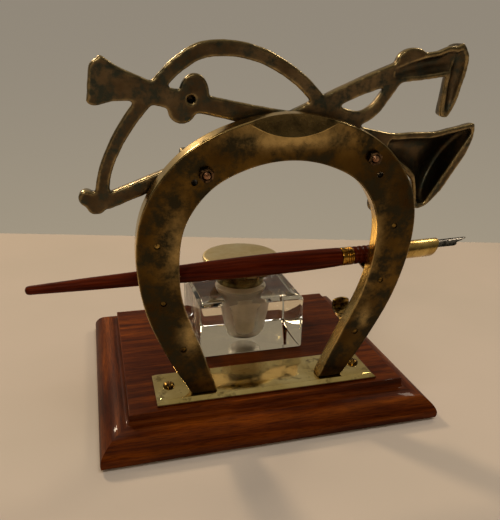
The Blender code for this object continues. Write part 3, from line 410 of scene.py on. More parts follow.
def ring(radii, heights, sides=48):
    """A stack of level rings about Z: each radius at its height."""
    turn = np.linspace(0, 2 * math.pi, sides, endpoint=False)
    radii, heights = np.asarray(radii, float)[:, None], np.asarray(heights, float)[:, None]
    return np.stack([radii * np.cos(turn), radii * np.sin(turn), heights + 0 * turn], axis=-1)


SCREW_RADIUS, SCREW_DOME, SLOT_HALF, SCREW_SEAT = 2.4, 1.3, 0.35, 18.3
beyond = SCREW_RADIUS - (SCREW_RADIUS - SLOT_HALF) * (1 - np.cos(np.linspace(0, math.pi / 2, 9)))
across = np.concatenate([-beyond, np.linspace(-SLOT_HALF, SLOT_HALF, 5), beyond[::-1]])
in_slot = np.concatenate([np.zeros(9), np.ones(5), np.zeros(9)])[:, None]
chord = np.sqrt((SCREW_RADIUS ** 2 - across ** 2).clip(0))[:, None]
reach = np.sin(np.linspace(-math.pi / 2, math.pi / 2, 19))[None, :]
bow = SCREW_DOME * np.sqrt((1 - (across[:, None] ** 2 + (chord * reach) ** 2) / SCREW_RADIUS ** 2).clip(0))
bow = np.where(in_slot > 0, np.minimum(bow, SCREW_DOME * 0.45), bow)
heads = np.stack([across[:, None] + 0 * reach, chord * reach, bow], axis=-1)
under = np.stack([across[:, None] + 0 * reach, chord * reach[:, ::-1], -0.28 + 0 * bow], axis=-1)
head = np.concatenate([heads, under], axis=1)
shank = capped(ring([0.5, 1.2, 1.2], [-11.3, -9.8, -0.2], 24))
screw_brass = metal("toned brass screws", ("#5d4518", "#8a6a2c", "#a98543"), roughness=0.28,
                    dirt="#2a1a08", dirt_from=0.42, scale=220.0, wear_and_sheen_tone="#d8b670")
for side, x in (("left", 42.0), ("right", -42.0)):
    spot = np.array([x, PLATE_CENTRE[1], SCREW_SEAT])
    screw = build_mesh("slotted_screw_" + side, [head + spot, shank + spot])
    settle(screw, screw_brass, "plate_brass", "base", "plate_screw_" + side, crease=40.0)
rest_steel, tree, shader, spots = new_material("hidden steel screws")
cut_marks = add_node(tree, "TexNoise", vector=spots, scale=400.0, detail=2.0)
feed(tree, shader, metallic=1.0, roughness=0.4,
     base_color=add_node(tree, "ValToRGB", stops=[(0.3, "#4c4a46"), (0.7, "#77746e")], fac=cut_marks))
dress(rest_steel, "heel_screw_left", "heel_screw_right")

# The horseshoe is a real forged shape cast in brass, standing on its heels and leaning back. It has
# gone a dark olive brown, rubbed gold along its edges, with a ball-shaped hollow at the toe that is painted
# bright as a highlight where it faces up, and a painted highlight line along the hollow's lower crease.
SHOE_PLACE = (0.6, 43.6, 18.3)
LEAN_SINE, LEAN_COSINE = 0.17021, 0.98541
HALF_WIDTH, OPENING_HALF, SHOE_LENGTH, OPENING_LENGTH, THICKNESS, EDGE = 53.3, 38.1, 114.5, 98.8, 5.6, 0.6
OUTER_SHARES = [(0.622, 0.0), (0.808, 0.18), (0.950, 0.37), (1.0, 0.575),
                (0.929, 0.742), (0.704, 0.883), (0.385, 0.967), (0.0, 1.0)]
INNER_SHARES = [(0.585, 0.0), (0.769, 0.218), (0.953, 0.437), (1.0, 0.612),
                (0.942, 0.775), (0.713, 0.905), (0.372, 0.976), (0.0, 1.0)]
SCOOP_RADIUS, SCOOP_CENTRE, SCOOP_OUT, SCOOP_BALL = 26.5, 133.5, 80.2, 84.46


def on_shoe(across, depth, height):
    """Places on the leaning shoe, across it, out of its rear face and up it, turned to the stand's own."""
    return np.stack([across + SHOE_PLACE[0],
                     SHOE_PLACE[1] + depth * LEAN_COSINE + height * LEAN_SINE,
                     SHOE_PLACE[2] - depth * LEAN_SINE + height * LEAN_COSINE], axis=-1)


def rod(across, height, radii, depths, sides=32):
    """A turned shape square to the shoe's face: each radius at its depth."""
    turn = np.linspace(0, 2 * math.pi, sides, endpoint=False)
    radii, depths = np.asarray(radii, float)[:, None], np.asarray(depths, float)[:, None]
    return on_shoe(across + radii * np.cos(turn), depths + 0 * turn, height + radii * np.sin(turn))


def carve(piece, *tools):
    """Takes tool shapes out of a piece for good, and removes them."""
    for tool in tools:
        modifier = piece.modifiers.new(tool.name, "BOOLEAN")
        modifier.operation = "DIFFERENCE"
        modifier.object = tool
        modifier.solver = "EXACT"
    apply_modifiers(piece)
    for tool in tools:
        bpy.data.objects.remove(tool)


def apply_modifiers(piece):
    """Keeps what a piece's modifiers make of it as its mesh."""
    graph = bpy.context.evaluated_depsgraph_get()
    old = piece.data
    piece.data = bpy.data.meshes.new_from_object(piece.evaluated_get(graph))
    piece.modifiers.clear()
    bpy.data.meshes.remove(old)


outer = np.array(OUTER_SHARES + [(-x, z) for x, z in OUTER_SHARES[-2::-1]]) * (HALF_WIDTH, SHOE_LENGTH)
inner = np.array(INNER_SHARES + [(-x, z) for x, z in INNER_SHARES[-2::-1]]) * (OPENING_HALF, OPENING_LENGTH)
outer, inner = through(outer, 12), through(inner, 12)
width = np.linalg.norm(outer - inner, axis=1)[:, None]
outwards = (outer - inner) / width
to_centre = inner - (0.0, SCOOP_CENTRE)
slant = (to_centre * outwards).sum(axis=1)[:, None]
inside = slant ** 2 - (to_centre ** 2).sum(axis=1)[:, None] + SCOOP_RADIUS ** 2
crossing = -slant - np.sqrt(inside.clip(0))
crossing = np.where((inside > 0) & (crossing < width - EDGE), crossing, width - EDGE).clip(EDGE * 1.01)
bend = np.linspace(0, math.pi / 2, 6)[None, :]
spread = (1 - np.cos(np.linspace(0, math.pi, 18)))[None, :] / 2
walls = np.linspace(0, 1, 8)[None, 1:-1]
gap = THICKNESS - 2 * EDGE
section = [
    (EDGE + (crossing - EDGE) * spread[:, :-1], 0.0),
    (crossing + (width - EDGE - crossing) * spread[:, :-1], 0.0),
    (width - EDGE + EDGE * np.sin(bend), -EDGE + EDGE * np.cos(bend)),
    (width + 0 * walls, -EDGE - gap * walls),
    (width - EDGE + EDGE * np.cos(bend), -EDGE - gap - EDGE * np.sin(bend)),
    (width - EDGE - (width - 2 * EDGE) * spread[:, 1:-1], -THICKNESS),
    (EDGE - EDGE * np.sin(bend) + 0 * width, -EDGE - gap - EDGE * np.cos(bend)),
    (0 * width + 0 * walls, -EDGE - gap + gap * walls),
    (EDGE - EDGE * np.cos(bend[:, :-1]) + 0 * width, -EDGE + EDGE * np.sin(bend[:, :-1])),
]
reach = np.concatenate([part[0] + 0 * width for part in section], axis=1)
depth = np.concatenate([part[1] + 0 * part[0] + 0 * width for part in section], axis=1)
x = inner[:, :1] + outwards[:, :1] * reach
height = inner[:, 1:] + outwards[:, 1:] * reach
from_middle = np.hypot(x, height - SCOOP_CENTRE)
scoop = SCOOP_OUT - np.sqrt(SCOOP_BALL ** 2 - np.minimum(from_middle, SCOOP_RADIUS) ** 2)
depth = np.minimum(depth, scoop)
# Rubbed wear along the inner and outer edges, and a painted highlight along the crease where the toe hollow
# meets the face.
rim_wear_and_glint = 1 - (np.minimum(np.abs(reach), np.abs(width - reach)) / 1.3).clip(0, 1)
rim_wear_and_glint = np.maximum(rim_wear_and_glint, (1 - np.abs(from_middle - SCOOP_RADIUS) / 1.2).clip(0, 1) * (depth > -2.5))
# Lighter spots on both legs, and painted highlights at the toe: a thin line along the hollow's lower crease
# and a bright patch inside the hollow where it faces up.
RUBS_AND_HIGHLIGHTS = [(39.3, 67.5, 5.0, 16.0, 0.5), (33.5, 29.7, 5.0, 8.0, 0.75), (-38.9, 29.1, 4.0, 5.0, 0.55),
        (0.0, 106.0, 20.0, 3.2, 0.55), (0.0, 118.0, 30.0, 9.0, 0.9), (-37.0, 60.0, 4.0, 22.0, 0.45)]
rub_and_highlight = sum(weight * np.exp(-((x - a) / wide) ** 2 - ((height - b) / tall) ** 2)
          for a, b, wide, tall, weight in RUBS_AND_HIGHLIGHTS)
# The mark is rubbed wear and painted highlight together.
wear_and_sheen = np.maximum(rim_wear_and_glint ** 3 * 0.95, rub_and_highlight).clip(0, 1)
height[[0, -1]] += depth[[0, -1]] * LEAN_SINE / LEAN_COSINE
NAILS = {"left": [(33.21, 92.29), (45.89, 69.27), (43.92, 45.23), (36.46, 23.01)],
         "right": [(-34.43, 92.63), (-44.40, 71.56), (-43.17, 47.29), (-36.08, 22.56)]}
NAIL_BORE, STUD_BORE, BORE_DEPTHS = 1.15, 1.5, (2, -8)
STUDS = {"left": (29.43, 95.26), "right": (-30.46, 99.39)}
shoe = build_mesh("horseshoe_in_patinated_brass", [capped(on_shoe(x, depth, height))],
                  marks={"wear_and_sheen": np.concatenate([wear_and_sheen[:1], wear_and_sheen, wear_and_sheen[-1:]])})
tools = []
for side in ("left", "right"):
    for number, (a, b) in enumerate(NAILS[side]):
        bore = capped(rod(a, b, [NAIL_BORE] * 2, BORE_DEPTHS))
        tools.append(build_mesh(f"nail_hole_{side}_{number}", [bore]))
    a, b = STUDS[side]
    tools.append(build_mesh("stud_hole_" + side, [capped(rod(a, b, [STUD_BORE] * 2, BORE_DEPTHS))]))
carve(shoe, *tools)
shoe_brass = metal("patinated brass", ("#38270e", "#4e3916", "#684e22"), roughness=0.30,
                   dirt="#2f2a1c", dirt_from=0.42, scale=34.0, wear_and_sheen_tone="#d2b475")
settle(shoe, shoe_brass, "shoe_brass", "base", "horseshoe", crease=28.0)

# Six pen hooks are bent from brass strip with an arched lip. Each has a back plate against the
# shoe's far face and a tenon riveted through a nail hole, whose end shows as a small sunk dimple.
HOOK_FACE, BACK_FACE, LIP_INSIDE = -5.9, -7.9, -16.5
STRIP, HOOK_BEND, LIP, ARCH = 1.4, 1.2, 4.6, 1.2
hook_share = np.sin(np.linspace(-math.pi / 2, math.pi / 2, 27))
turns = np.linspace(0, math.pi / 2, 9)[None, :]
lip_top = (LIP - ARCH * hook_share ** 2)[:, None]
half_strip = STRIP / 2 * (1 - hook_share[:, None] ** 12).clip(0) ** 0.5
middle_bend = HOOK_BEND + STRIP / 2
centre_depth = np.concatenate([np.full((1, 1), BACK_FACE + 1.0),
                               LIP_INSIDE + HOOK_BEND - middle_bend * np.sin(turns),
                               np.full((1, 1), LIP_INSIDE - STRIP / 2)], axis=1) + 0 * lip_top
centre_height = np.concatenate([0 * lip_top - STRIP / 2,
                                HOOK_BEND - middle_bend * np.cos(turns) + 0 * lip_top,
                                lip_top - STRIP / 2], axis=1)
face_depth = np.concatenate([[[0.0]], np.sin(turns), [[1.0]]], axis=1)
face_height = np.concatenate([[[1.0]], np.cos(turns), [[0.0]]], axis=1)
tip = np.linspace(0, math.pi, 9)[None, 1:-1]
in_depth = centre_depth + half_strip * face_depth
in_height = centre_height + half_strip * face_height
out_depth = centre_depth - half_strip * face_depth
out_height = centre_height - half_strip * face_height
tip_depth = centre_depth[:, -1:] + half_strip * np.cos(tip)
tip_height = centre_height[:, -1:] + half_strip * np.sin(tip)
hook_depth = np.concatenate([in_depth, tip_depth, out_depth[:, ::-1]], axis=1)
hook_height = np.concatenate([in_height, tip_height, out_height[:, ::-1]], axis=1)
hook_brass = metal("toned hook brass", ("#5f4a1e", "#93753a", "#b39452"), roughness=0.30,
                   dirt="#332510", dirt_from=0.42, scale=150.0, wear_and_sheen_tone="#d9bd7c")
for side in ("left", "right"):
    for number, level in enumerate(("upper", "middle", "lower"), start=1):
        a, b = NAILS[side][number]
        strip = on_shoe(a + 3.9 * hook_share[:, None] + 0 * hook_depth, hook_depth, b + 1.7 + hook_height)
        half, corner = 2.3, 0.35
        loop_x = np.array([-half, -half + corner, half - corner, half, half, half - corner, -half + corner,
                           -half])
        loop_z = np.array([4.6 - corner, 4.6, 4.6, 4.6 - corner, -2 + corner, -2, -2, -2 + corner])
        shrink = np.array([0.9, 1.0, 1.0, 0.9])[:, None]
        depths = np.array([HOOK_FACE, HOOK_FACE - 0.25, BACK_FACE + 0.25, BACK_FACE])[:, None]
        back = on_shoe(a + loop_x * shrink, depths + 0 * loop_x, b + 1.3 + (loop_z - 1.3) * shrink)
        pin = rod(a, b, [1.05, 1.05, 0.98, 0.8, 0.5, 0.2], [-6.5, -0.45, -0.32, -0.24, -0.18, -0.15], 24)
        hook = build_mesh(f"pen_hook_{level}_{side}", [capped(strip), capped(back), capped(pin)])
        settle(hook, hook_brass, "plate_brass", "base", f"pen_hook_{level}_{side}", crease=35.0)

# Horn, whip and looped thong are one sand casting in bronze, brown with a little verdigris, rubbed bright
# on its ridges and painted lighter on its upward faces as a highlight. The bell and the handle are hollow
# behind.
HORN_LINE = [(0.5668, 1.0839), (0.5608, 1.0829), (0.5457, 1.0789), (0.4994, 1.0709),
             (0.4511, 1.0608), (0.3947, 1.0437), (0.3253, 1.0266), (0.2378, 1.0110),
             (0.0798, 0.9773), (-0.0792, 0.9511), (-0.2281, 0.9139), (-0.3428, 0.8807),
             (-0.4207, 0.8631), (-0.4790, 0.8444), (-0.5099, 0.8321), (-0.5363, 0.8194),
             (-0.5613, 0.8061), (-0.5810, 0.7962), (-0.5957, 0.7891), (-0.6066, 0.7838)]
HORN_RADII = [0.03, 0.052, 0.0685, 0.0486, 0.037, 0.0305, 0.0288, 0.0275, 0.031, 0.0306, 0.0332,
              0.0437, 0.064, 0.0864, 0.1138, 0.1403, 0.166, 0.153, 0.122, 0.07]
HORN_DEPTHS = [0.03, 0.05, 0.0655, 0.059, 0.0541, 0.0489, 0.0472, 0.0472, 0.0472, 0.0472, 0.0489,
               0.0541, 0.0629, 0.07, 0.0786, 0.0917, 0.1048, 0.1, 0.085, 0.055]
WHIP_LINE = [(0.543, 0.729), (0.354, 0.805), (0.168, 0.884), (-0.008, 0.964), (-0.189, 1.053),
             (-0.323, 1.104), (-0.413, 1.125), (-0.467, 1.134), (-0.502, 1.144), (-0.537, 1.150)]
WHIP_WIDTHS = [0.024, 0.0245, 0.0285, 0.0295, 0.0255, 0.032, 0.04, 0.041, 0.045, 0.036]
HANDLE_LINE = [(-0.512, 1.185), (-0.529, 1.148), (-0.532, 1.108), (-0.530, 1.073), (-0.528, 1.027),
               (-0.523, 0.990), (-0.520, 0.971)]
HANDLE_WIDTHS = [0.028, 0.036, 0.034, 0.032, 0.028, 0.021, 0.012]
THONG_LINE = [(0.551, 0.741), (0.539, 0.818), (0.508, 0.896), (0.467, 0.965), (0.419, 1.027),
              (0.376, 1.077), (0.330, 1.122), (0.266, 1.160), (0.180, 1.167), (0.098, 1.150),
              (0.032, 1.120), (-0.029, 1.081), (-0.072, 1.043), (-0.112, 1.007), (-0.167, 0.982),
              (-0.228, 0.972), (-0.274, 0.997), (-0.299, 1.032), (-0.329, 1.083)]
THONG_WIDTHS = [0.0215, 0.02, 0.02, 0.0212, 0.022, 0.0215, 0.0222, 0.0235, 0.0225, 0.0217, 0.0207,
                0.021, 0.021, 0.0215, 0.0225, 0.0225, 0.02, 0.019, 0.02]
KNOTS = [(0.568, 0.728, 0.032, 0.036), (0.594, 0.745, 0.024, 0.026), (-0.374, 1.138, 0.056, 0.043),
         (0.283, 1.047, 0.043, 0.055), (0.318, 1.000, 0.041, 0.040)]
FINE, KNOT_RISE, FIRST_VOXEL, LAST_VOXEL = 6, 7.0, 0.42, 0.40
BELL_WALL, BELL_FLOOR, CHANNEL_WALL, HOOK_WALL = 2.3, 1.3, 1.5, 1.3


def relief(line, half_widths, depths, back, grow=0.0, around=20):
    """A bar with a flat back and a half-round front, carried along a line on the shoe. Each ring is the
    arc from one side to the other, out from the back by the depth times the sine of its turn."""
    ahead_of = np.gradient(line, axis=0)
    ahead_of /= np.linalg.norm(ahead_of, axis=1, keepdims=True)
    side_x, side_z = -ahead_of[:, 1:], ahead_of[:, :1]
    turn = np.linspace(0, math.pi, around)[None, :]
    reach = (half_widths[:, None] + grow) * np.cos(turn)
    return capped(on_shoe(line[:, :1] + side_x * reach, back - (depths[:, None] + grow) * np.sin(turn),
                          line[:, 1:] + side_z * reach))


horn_line = through(HORN_LINE, FINE) * SHOE_LENGTH
horn_radii = through(HORN_RADII, FINE) * SHOE_LENGTH
horn_depths = through(HORN_DEPTHS, FINE) * SHOE_LENGTH
whip_line = through(WHIP_LINE, FINE) * SHOE_LENGTH
whip_widths = through(WHIP_WIDTHS, FINE) * SHOE_LENGTH
handle_line = through(HANDLE_LINE, FINE) * SHOE_LENGTH
handle_widths = through(HANDLE_WIDTHS, FINE) * SHOE_LENGTH
thong_line = through(THONG_LINE, FINE) * SHOE_LENGTH
thong_widths = through(THONG_WIDTHS, FINE) * SHOE_LENGTH
HORN_BACK, WHIP_BACK, THONG_BACK = HOOK_FACE - 0.5, HOOK_FACE - 0.6, HOOK_FACE - 0.65
parts = [relief(horn_line, horn_radii, horn_depths, HORN_BACK, around=36),
         relief(whip_line, whip_widths, np.full(len(whip_line), 6.0), WHIP_BACK),
         relief(handle_line, handle_widths, np.full(len(handle_line), 6.0), WHIP_BACK - 0.1),
         relief(thong_line, thong_widths, np.full(len(thong_line), 4.2), THONG_BACK)]
level = np.sin(np.linspace(0, math.radians(80), 10))
for a, b, wide, tall in KNOTS:
    turn = np.linspace(0, 2 * math.pi, 28, endpoint=False)[None, :]
    shrink = np.sqrt(1 - level ** 2)[:, None] * SHOE_LENGTH
    rise = HORN_BACK - KNOT_RISE * level[:, None] + 0 * turn
    parts.append(capped(on_shoe(a * SHOE_LENGTH + wide * shrink * np.cos(turn), rise,
                                b * SHOE_LENGTH + tall * shrink * np.sin(turn))))
boss_depths = [HOOK_FACE, HOOK_FACE - 0.3, HOOK_FACE - 4.3, HOOK_FACE - 4.6]
for a, b in STUDS.values():
    parts.append(capped(rod(a, b, [4.1, 4.4, 4.4, 4.0], boss_depths)))
lug_x, lug_z = 0.307 * SHOE_LENGTH, 0.869 * SHOE_LENGTH
square_x, square_z = np.array([-1.8, 1.8, 1.8, -1.8]), np.array([-3.6, -3.6, 1.8, 1.8])
lug_depths = np.array([[HOOK_FACE - 4.6], [HOOK_FACE - 0.45]]) + 0 * square_x
parts.append(capped(on_shoe(lug_x + square_x + 0 * lug_depths, lug_depths,
                            lug_z + square_z + 0 * lug_depths)))
trophy = build_mesh("hunting_trophy_casting", parts)


def one_skin(piece, voxel):
    """Makes overlapping closed shapes one skin of even small faces, whose inner edges turn soft."""
    voxels = piece.modifiers.new("one skin", "REMESH")
    voxels.mode = "VOXEL"
    voxels.voxel_size = voxel * MM
    apply_modifiers(piece)


one_skin(trophy, FIRST_VOXEL)
first, last = 11 * FINE, 17 * FINE
bell = build_mesh("bell_hollow", [relief(horn_line[first:last], horn_radii[first:last] - BELL_WALL,
                                         horn_depths[first:last] - BELL_FLOOR, HORN_BACK + 1.0, around=36)])
first = 5 * FINE
along = whip_line[first:-FINE // 2]
ends_in = np.sin(np.linspace(0.25, math.pi - 0.5, len(along)))
channel = build_mesh("handle_channel", [relief(along, whip_widths[first:-FINE // 2] - CHANNEL_WALL,
                                               1.0 + 2.6 * ends_in, WHIP_BACK + 1.0)])
along = handle_line[FINE // 2:-FINE]
ends_in = np.sin(np.linspace(0.5, math.pi - 0.2, len(along)))
hook_channel = build_mesh("hook_channel", [relief(along, handle_widths[FINE // 2:-FINE] - HOOK_WALL,
                                                  1.0 + 2.6 * ends_in, WHIP_BACK + 1.0)])
knot_hole = build_mesh("knot_hole", [capped(rod(0.292 * SHOE_LENGTH, 1.030 * SHOE_LENGTH, [1.3, 1.3],
                                                [HOOK_FACE + 1, HORN_BACK - 3.0]))])
carve(trophy, bell, channel, hook_channel, knot_hole)
one_skin(trophy, LAST_VOXEL)


def worn(piece, rounds, reach):
    """Each point's place and normal, and how far it stands proud of its neighbours, from hollow -1 to
    ridge 1: the mean step to its neighbours against its normal, evened out. Also gives who is next to whom."""
    mesh = piece.data
    count = len(mesh.vertices)
    spot = np.empty(count * 3, np.float32)
    mesh.vertices.foreach_get("co", spot)
    spot = spot.reshape(-1, 3).astype(float)
    normal = np.empty(count * 3, np.float32)
    mesh.vertex_normals.foreach_get("vector", normal)
    normal = normal.reshape(-1, 3).astype(float)
    edges = np.empty(len(mesh.edges) * 2, np.int32)
    mesh.edges.foreach_get("vertices", edges)
    a, b = edges.reshape(-1, 2).T
    both, other = np.concatenate([a, b]), np.concatenate([b, a])
    degree = np.bincount(both, minlength=count).clip(1)
    proud = np.bincount(both, ((spot[both] - spot[other]) * normal[both]).sum(axis=1), count) / degree
    for _ in range(rounds):
        proud = 0.4 * proud + 0.6 * np.bincount(both, proud[other], count) / degree
    return spot, normal, (proud / (reach * MM)).clip(-1, 1), both, other, degree


def ripples(spot, size, seed):
    """An uneven surface as the sum of twelve sine waves of about one size, in directions of one seed."""
    random = np.random.default_rng(seed)
    ways = random.normal(size=(12, 3))
    stretch = random.uniform(0.7, 1.5, 12)
    ways *= (2 * math.pi / (size * MM) * stretch / np.linalg.norm(ways, axis=1))[:, None]
    return np.sin(spot @ ways.T + random.uniform(0, 6.28, 12)).sum(axis=1) / 12


spot, normal, proud, both, other, degree = worn(trophy, 3, 0.018)
for _ in range(7):
    even = np.stack([np.bincount(both, spot[other, k], len(spot)) / degree for k in range(3)], axis=1)
    spot = spot + (even - spot) * 0.6
uneven = 0.10 * ripples(spot, 7.0, 4) + 0.06 * ripples(spot, 2.6, 5) + 0.035 * ripples(spot, 1.2, 6)
spot += normal * (uneven * MM)[:, None]
trophy.data.vertices.foreach_set("co", spot.astype(np.float32).ravel())
# Ridges are lighter as rubbed wear; faces turned up are painted lighter as a highlight from above; random
# patches on top.
upward_highlight = (normal[:, 2] * 0.9 + normal[:, 1] * 0.1).clip(0, 1)
wear_and_sheen = (proud.clip(0, 1) * 0.6 + upward_highlight ** 3 * 0.45 + ripples(spot, 9.0, 8) * 0.3).clip(0, 1)
trophy.data.attributes.new("wear_and_sheen", "FLOAT", "POINT").data.foreach_set("value", wear_and_sheen.astype(np.float32))
bronze = metal("dark cast bronze", ("#3b3022", "#544531", "#6d5c43"), roughness=0.42,
               dirt="#3a3d34", dirt_from=0.38, scale=60.0, wear_and_sheen_tone="#b29c6c", speck=0.0004)
settle(trophy, bronze, "bronze", "base", "hunting_trophy", crease=50.0)

# Two studs screwed into the casting come through the shoe, each held by a small hexagon nut.
# The nuts are dark with age, and the cut ends of the studs show coppery.
PITCH_OF_THREAD, STUD_RADIUS, STUD_END = 0.45, 1.2, 2.6
NUT_FLATS, NUT_BORE, NUT_SEAT, NUT_TOP, NUT_TURN = 4.6, 1.5, 0.3, 1.9, math.radians(12)


def threaded(across, height, radius, low, high):
    """A screw thread square to the shoe: the radius falls and rises once a pitch as a point goes round
    and along, and runs in to a chamfer at the outer end."""
    depths = np.linspace(low, high, int((high - low) / PITCH_OF_THREAD * 8))[:, None]
    turn = np.linspace(0, 2 * math.pi, 28, endpoint=False)[None, :]
    wave = np.abs(((depths / PITCH_OF_THREAD - turn / (2 * math.pi)) % 1.0) * 2 - 1)
    radii = np.minimum(radius - 0.26 * wave, radius - 0.35 + (high - depths))
    return capped(on_shoe(across + radii * np.cos(turn), depths + 0 * turn, height + radii * np.sin(turn)))


def hexagon_nut(across, height, flats, bore, low, high, turned_by):
    """A nut as a looped skin: bore, top, chamfer, six sides and seat, where the outer reach is the flats'
    half-width over the cosine of the turn from the middle of a side."""
    turn = np.linspace(0, 2 * math.pi, 72, endpoint=False)[None, :]
    outer_reach = flats / 2 / np.cos((turn + math.pi / 6) % (math.pi / 3) - math.pi / 6)
    crown = flats / 2 * 0.97
    drop = (outer_reach - crown).clip(0) * 0.55
    rows = [(bore + 0 * turn, low + 0 * turn), (bore + 0 * turn, high - 0.15 + 0 * turn),
            (bore + 0.15 + 0 * turn, high + 0 * turn), (crown + 0 * turn, high + 0 * turn),
            (outer_reach, high - drop), (outer_reach, low + drop), (crown + 0 * turn, low + 0 * turn)]
    radii = np.concatenate([row[0] for row in rows])
    depths = np.concatenate([row[1] for row in rows])
    turn = turn + turned_by
    return on_shoe(across + radii * np.cos(turn), depths, height + radii * np.sin(turn))


dark_steel = metal("nuts dark with age", ("#3a2c1e", "#5a4530", "#7a6146"), roughness=0.30,
                   dirt="#1d150d", dirt_from=0.40, scale=260.0, wear_and_sheen_tone="#c9b494")
copper = metal("coppery stud ends", ("#6a4630", "#8c6448", "#ac866a"), roughness=0.32,
               dirt="#33231a", dirt_from=0.34, scale=400.0, wear_and_sheen_tone="#d8b89c")
for side, (a, b) in STUDS.items():
    stud = build_mesh("threaded_stud_" + side, [threaded(a, b, STUD_RADIUS, HOOK_FACE - 3.0, STUD_END)])
    settle(stud, copper, "steel", "base", "trophy_stud_" + side, crease=50.0)
    faces = hexagon_nut(a, b, NUT_FLATS, NUT_BORE, NUT_SEAT, NUT_TOP, NUT_TURN)
    nut = build_mesh("hexagon_nut_" + side, [(faces, True)])
    settle(nut, dark_steel, "steel", "base", "trophy_nut_" + side, crease=25.0)

# The ink bottle is a pressed block of clear glass, ground and polished, with a plain neck. Its
# well is frosted whitish by years of ink and washing, and tapers to a rounded floor.
BOTTLE_PLACE = np.array([-0.9, -13.1, 15.8])


def pressed(rows):
    """Rings that pass from a square to a circle: each row gives half-size, corner radius or -1 for a
    circle, and height. A square's reach at a turn is where the ray from the middle meets a side or the
    corner's arc."""
    eighth = np.concatenate([np.linspace(0, 0.74, 7), np.linspace(0.74, math.pi / 2 - 0.74, 9)[1:],
                             np.linspace(math.pi / 2 - 0.74, math.pi / 2, 7)[1:-1]])
    turn = np.concatenate([eighth + k * math.pi / 2 for k in range(4)])
    c, s = np.abs(np.cos(turn)), np.abs(np.sin(turn))
    rings = []
    for half, corner, height in rows:
        if corner < 0:
            radius = np.full(len(turn), half)
        else:
            flat = half / np.maximum(c, s)
            k = half - corner
            inside_corner = np.minimum(flat * c, flat * s) > k
            root = ((c + s) * k) ** 2 - 2 * k ** 2 + corner ** 2
            radius = np.where(inside_corner, (c + s) * k + np.sqrt(root.clip(0)), flat)
        level = np.full(len(turn), height)
        rings.append(np.stack([radius * np.cos(turn), radius * np.sin(turn), level], axis=-1))
    return np.stack(rings)


outside = [(0.0, 0, 0), (23.6, 1.4, 0), (24.4, 1.5, 0.12), (24.85, 1.6, 0.4), (25.0, 1.7, 0.9),
           (25.0, 1.7, 13.0), (25.0, 1.7, 25.1), (24.93, 1.7, 25.4), (24.75, 1.6, 25.65),
           (23.75, 1.5, 26.65), (23.5, 1.5, 26.85), (23.1, 1.5, 27.0), (16.0, 6.0, 27.0),
           (10.6, -1, 27.0), (10.1, -1, 27.15), (9.8, -1, 27.5), (9.8, -1, 33.9), (9.6, -1, 34.25),
           (9.2, -1, 34.4)]
inside_rows = [(8.3, -1, 34.4), (7.9, -1, 34.2), (7.8, -1, 33.8), (7.8, -1, 24.6), (8.2, -1, 23.9),
               (9.4, -1, 23.0), (11.2, -1, 22.0), (12.2, -1, 21.3), (12.5, -1, 20.4), (12.2, -1, 18.0),
               (11.3, -1, 13.0), (10.3, -1, 8.6), (9.75, -1, 6.4), (9.2, -1, 4.6), (8.0, -1, 3.1),
               (6.2, -1, 2.2), (4.0, -1, 1.87), (0.0, -1, 1.8)]
bottle = build_mesh("pressed_glass_bottle", [pressed(outside + inside_rows) + BOTTLE_PLACE])
clear, tree, shader, spots = new_material("clear pressed glass")
wave = add_node(tree, "TexNoise", vector=spots, scale=55.0, detail=2.0)
feed(tree, shader, base_color="#efe7d2", roughness=0.015, ior=1.5, transmission_weight=1.0,
     normal=add_node(tree, "Bump", strength=0.12, distance=0.0006, height=wave))
frosted, tree, shader, spots = new_material("well frosted by ink and washing")
bloom = add_node(tree, "TexNoise", vector=spots, scale=160.0, detail=5.0, roughness=0.65)
bloom_tone = add_node(tree, "ValToRGB", stops=[(0.3, "#c4b28e"), (0.7, "#ece0c8")], fac=bloom)
feed(tree, shader, base_color=bloom_tone, roughness=0.40, ior=1.5, transmission_weight=0.68,
     normal=add_node(tree, "Bump", strength=0.3, distance=0.0003, height=bloom))
settle(bottle, [clear, frosted], "glass", "bottle", "ink_bottle", crease=26.0)
centres = np.empty(len(bottle.data.polygons) * 3, np.float32)
bottle.data.polygons.foreach_get("center", centres)
centres = centres.reshape(-1, 3) / MM - BOTTLE_PLACE
in_well = (np.hypot(centres[:, 0], centres[:, 1]) < 12.6) & (centres[:, 2] > 1.0) & (centres[:, 2] < 23.5)
bottle.data.polygons.foreach_set("material_index", in_well.astype(np.int32))

# The collar is spun brass, cemented on the neck and flaring to the lid's seat. The lid is a
# shallow turned cap, hollow beneath, on a three-knuckle hinge with a plain pin.
HINGE = np.array([-0.9, 7.4, 53.7])
NECK_AXIS = np.array([-0.9, -13.1, 0.0])
flare = through([(11.35, 44.9), (11.51, 46.5), (12.3, 47.6), (13.12, 48.37), (15.2, 49.55), (16.5, 51.2)], 6)
turns = np.linspace(0, math.pi / 2, 6)
rim_round = np.stack([16.1 + 0.4 * np.cos(turns), 52.0 + 0.4 * np.sin(turns)], axis=-1)
collar_foot = [(10.1, 43.1), (11.55, 43.1), (11.7, 43.25), (11.7, 44.5), (11.58, 44.7)]
collar_profile = np.concatenate([collar_foot, flare, rim_round, [(10.4, 52.4), (10.1, 52.1)]])
skins = [(ring(collar_profile[:, 0], collar_profile[:, 1], 96) + NECK_AXIS, True)]


def knuckle(start, end, bore, radius=1.7, sides=36):
    """A short tube along X about the hinge, with its outer edges eased, as a looped skin."""
    ease = 0.15 if start < end else -0.15
    profile = np.array([(bore, start), (radius - 0.15, start), (radius, start + ease), (radius, end - ease),
                        (radius - 0.15, end), (bore, end)])
    turn = np.linspace(0, 2 * math.pi, sides, endpoint=False)[None, :]
    return np.stack([HINGE[0] + profile[:, 1:] + 0 * turn, HINGE[1] + profile[:, :1] * np.cos(turn),
                     HINGE[2] + profile[:, :1] * np.sin(turn)], axis=-1), True


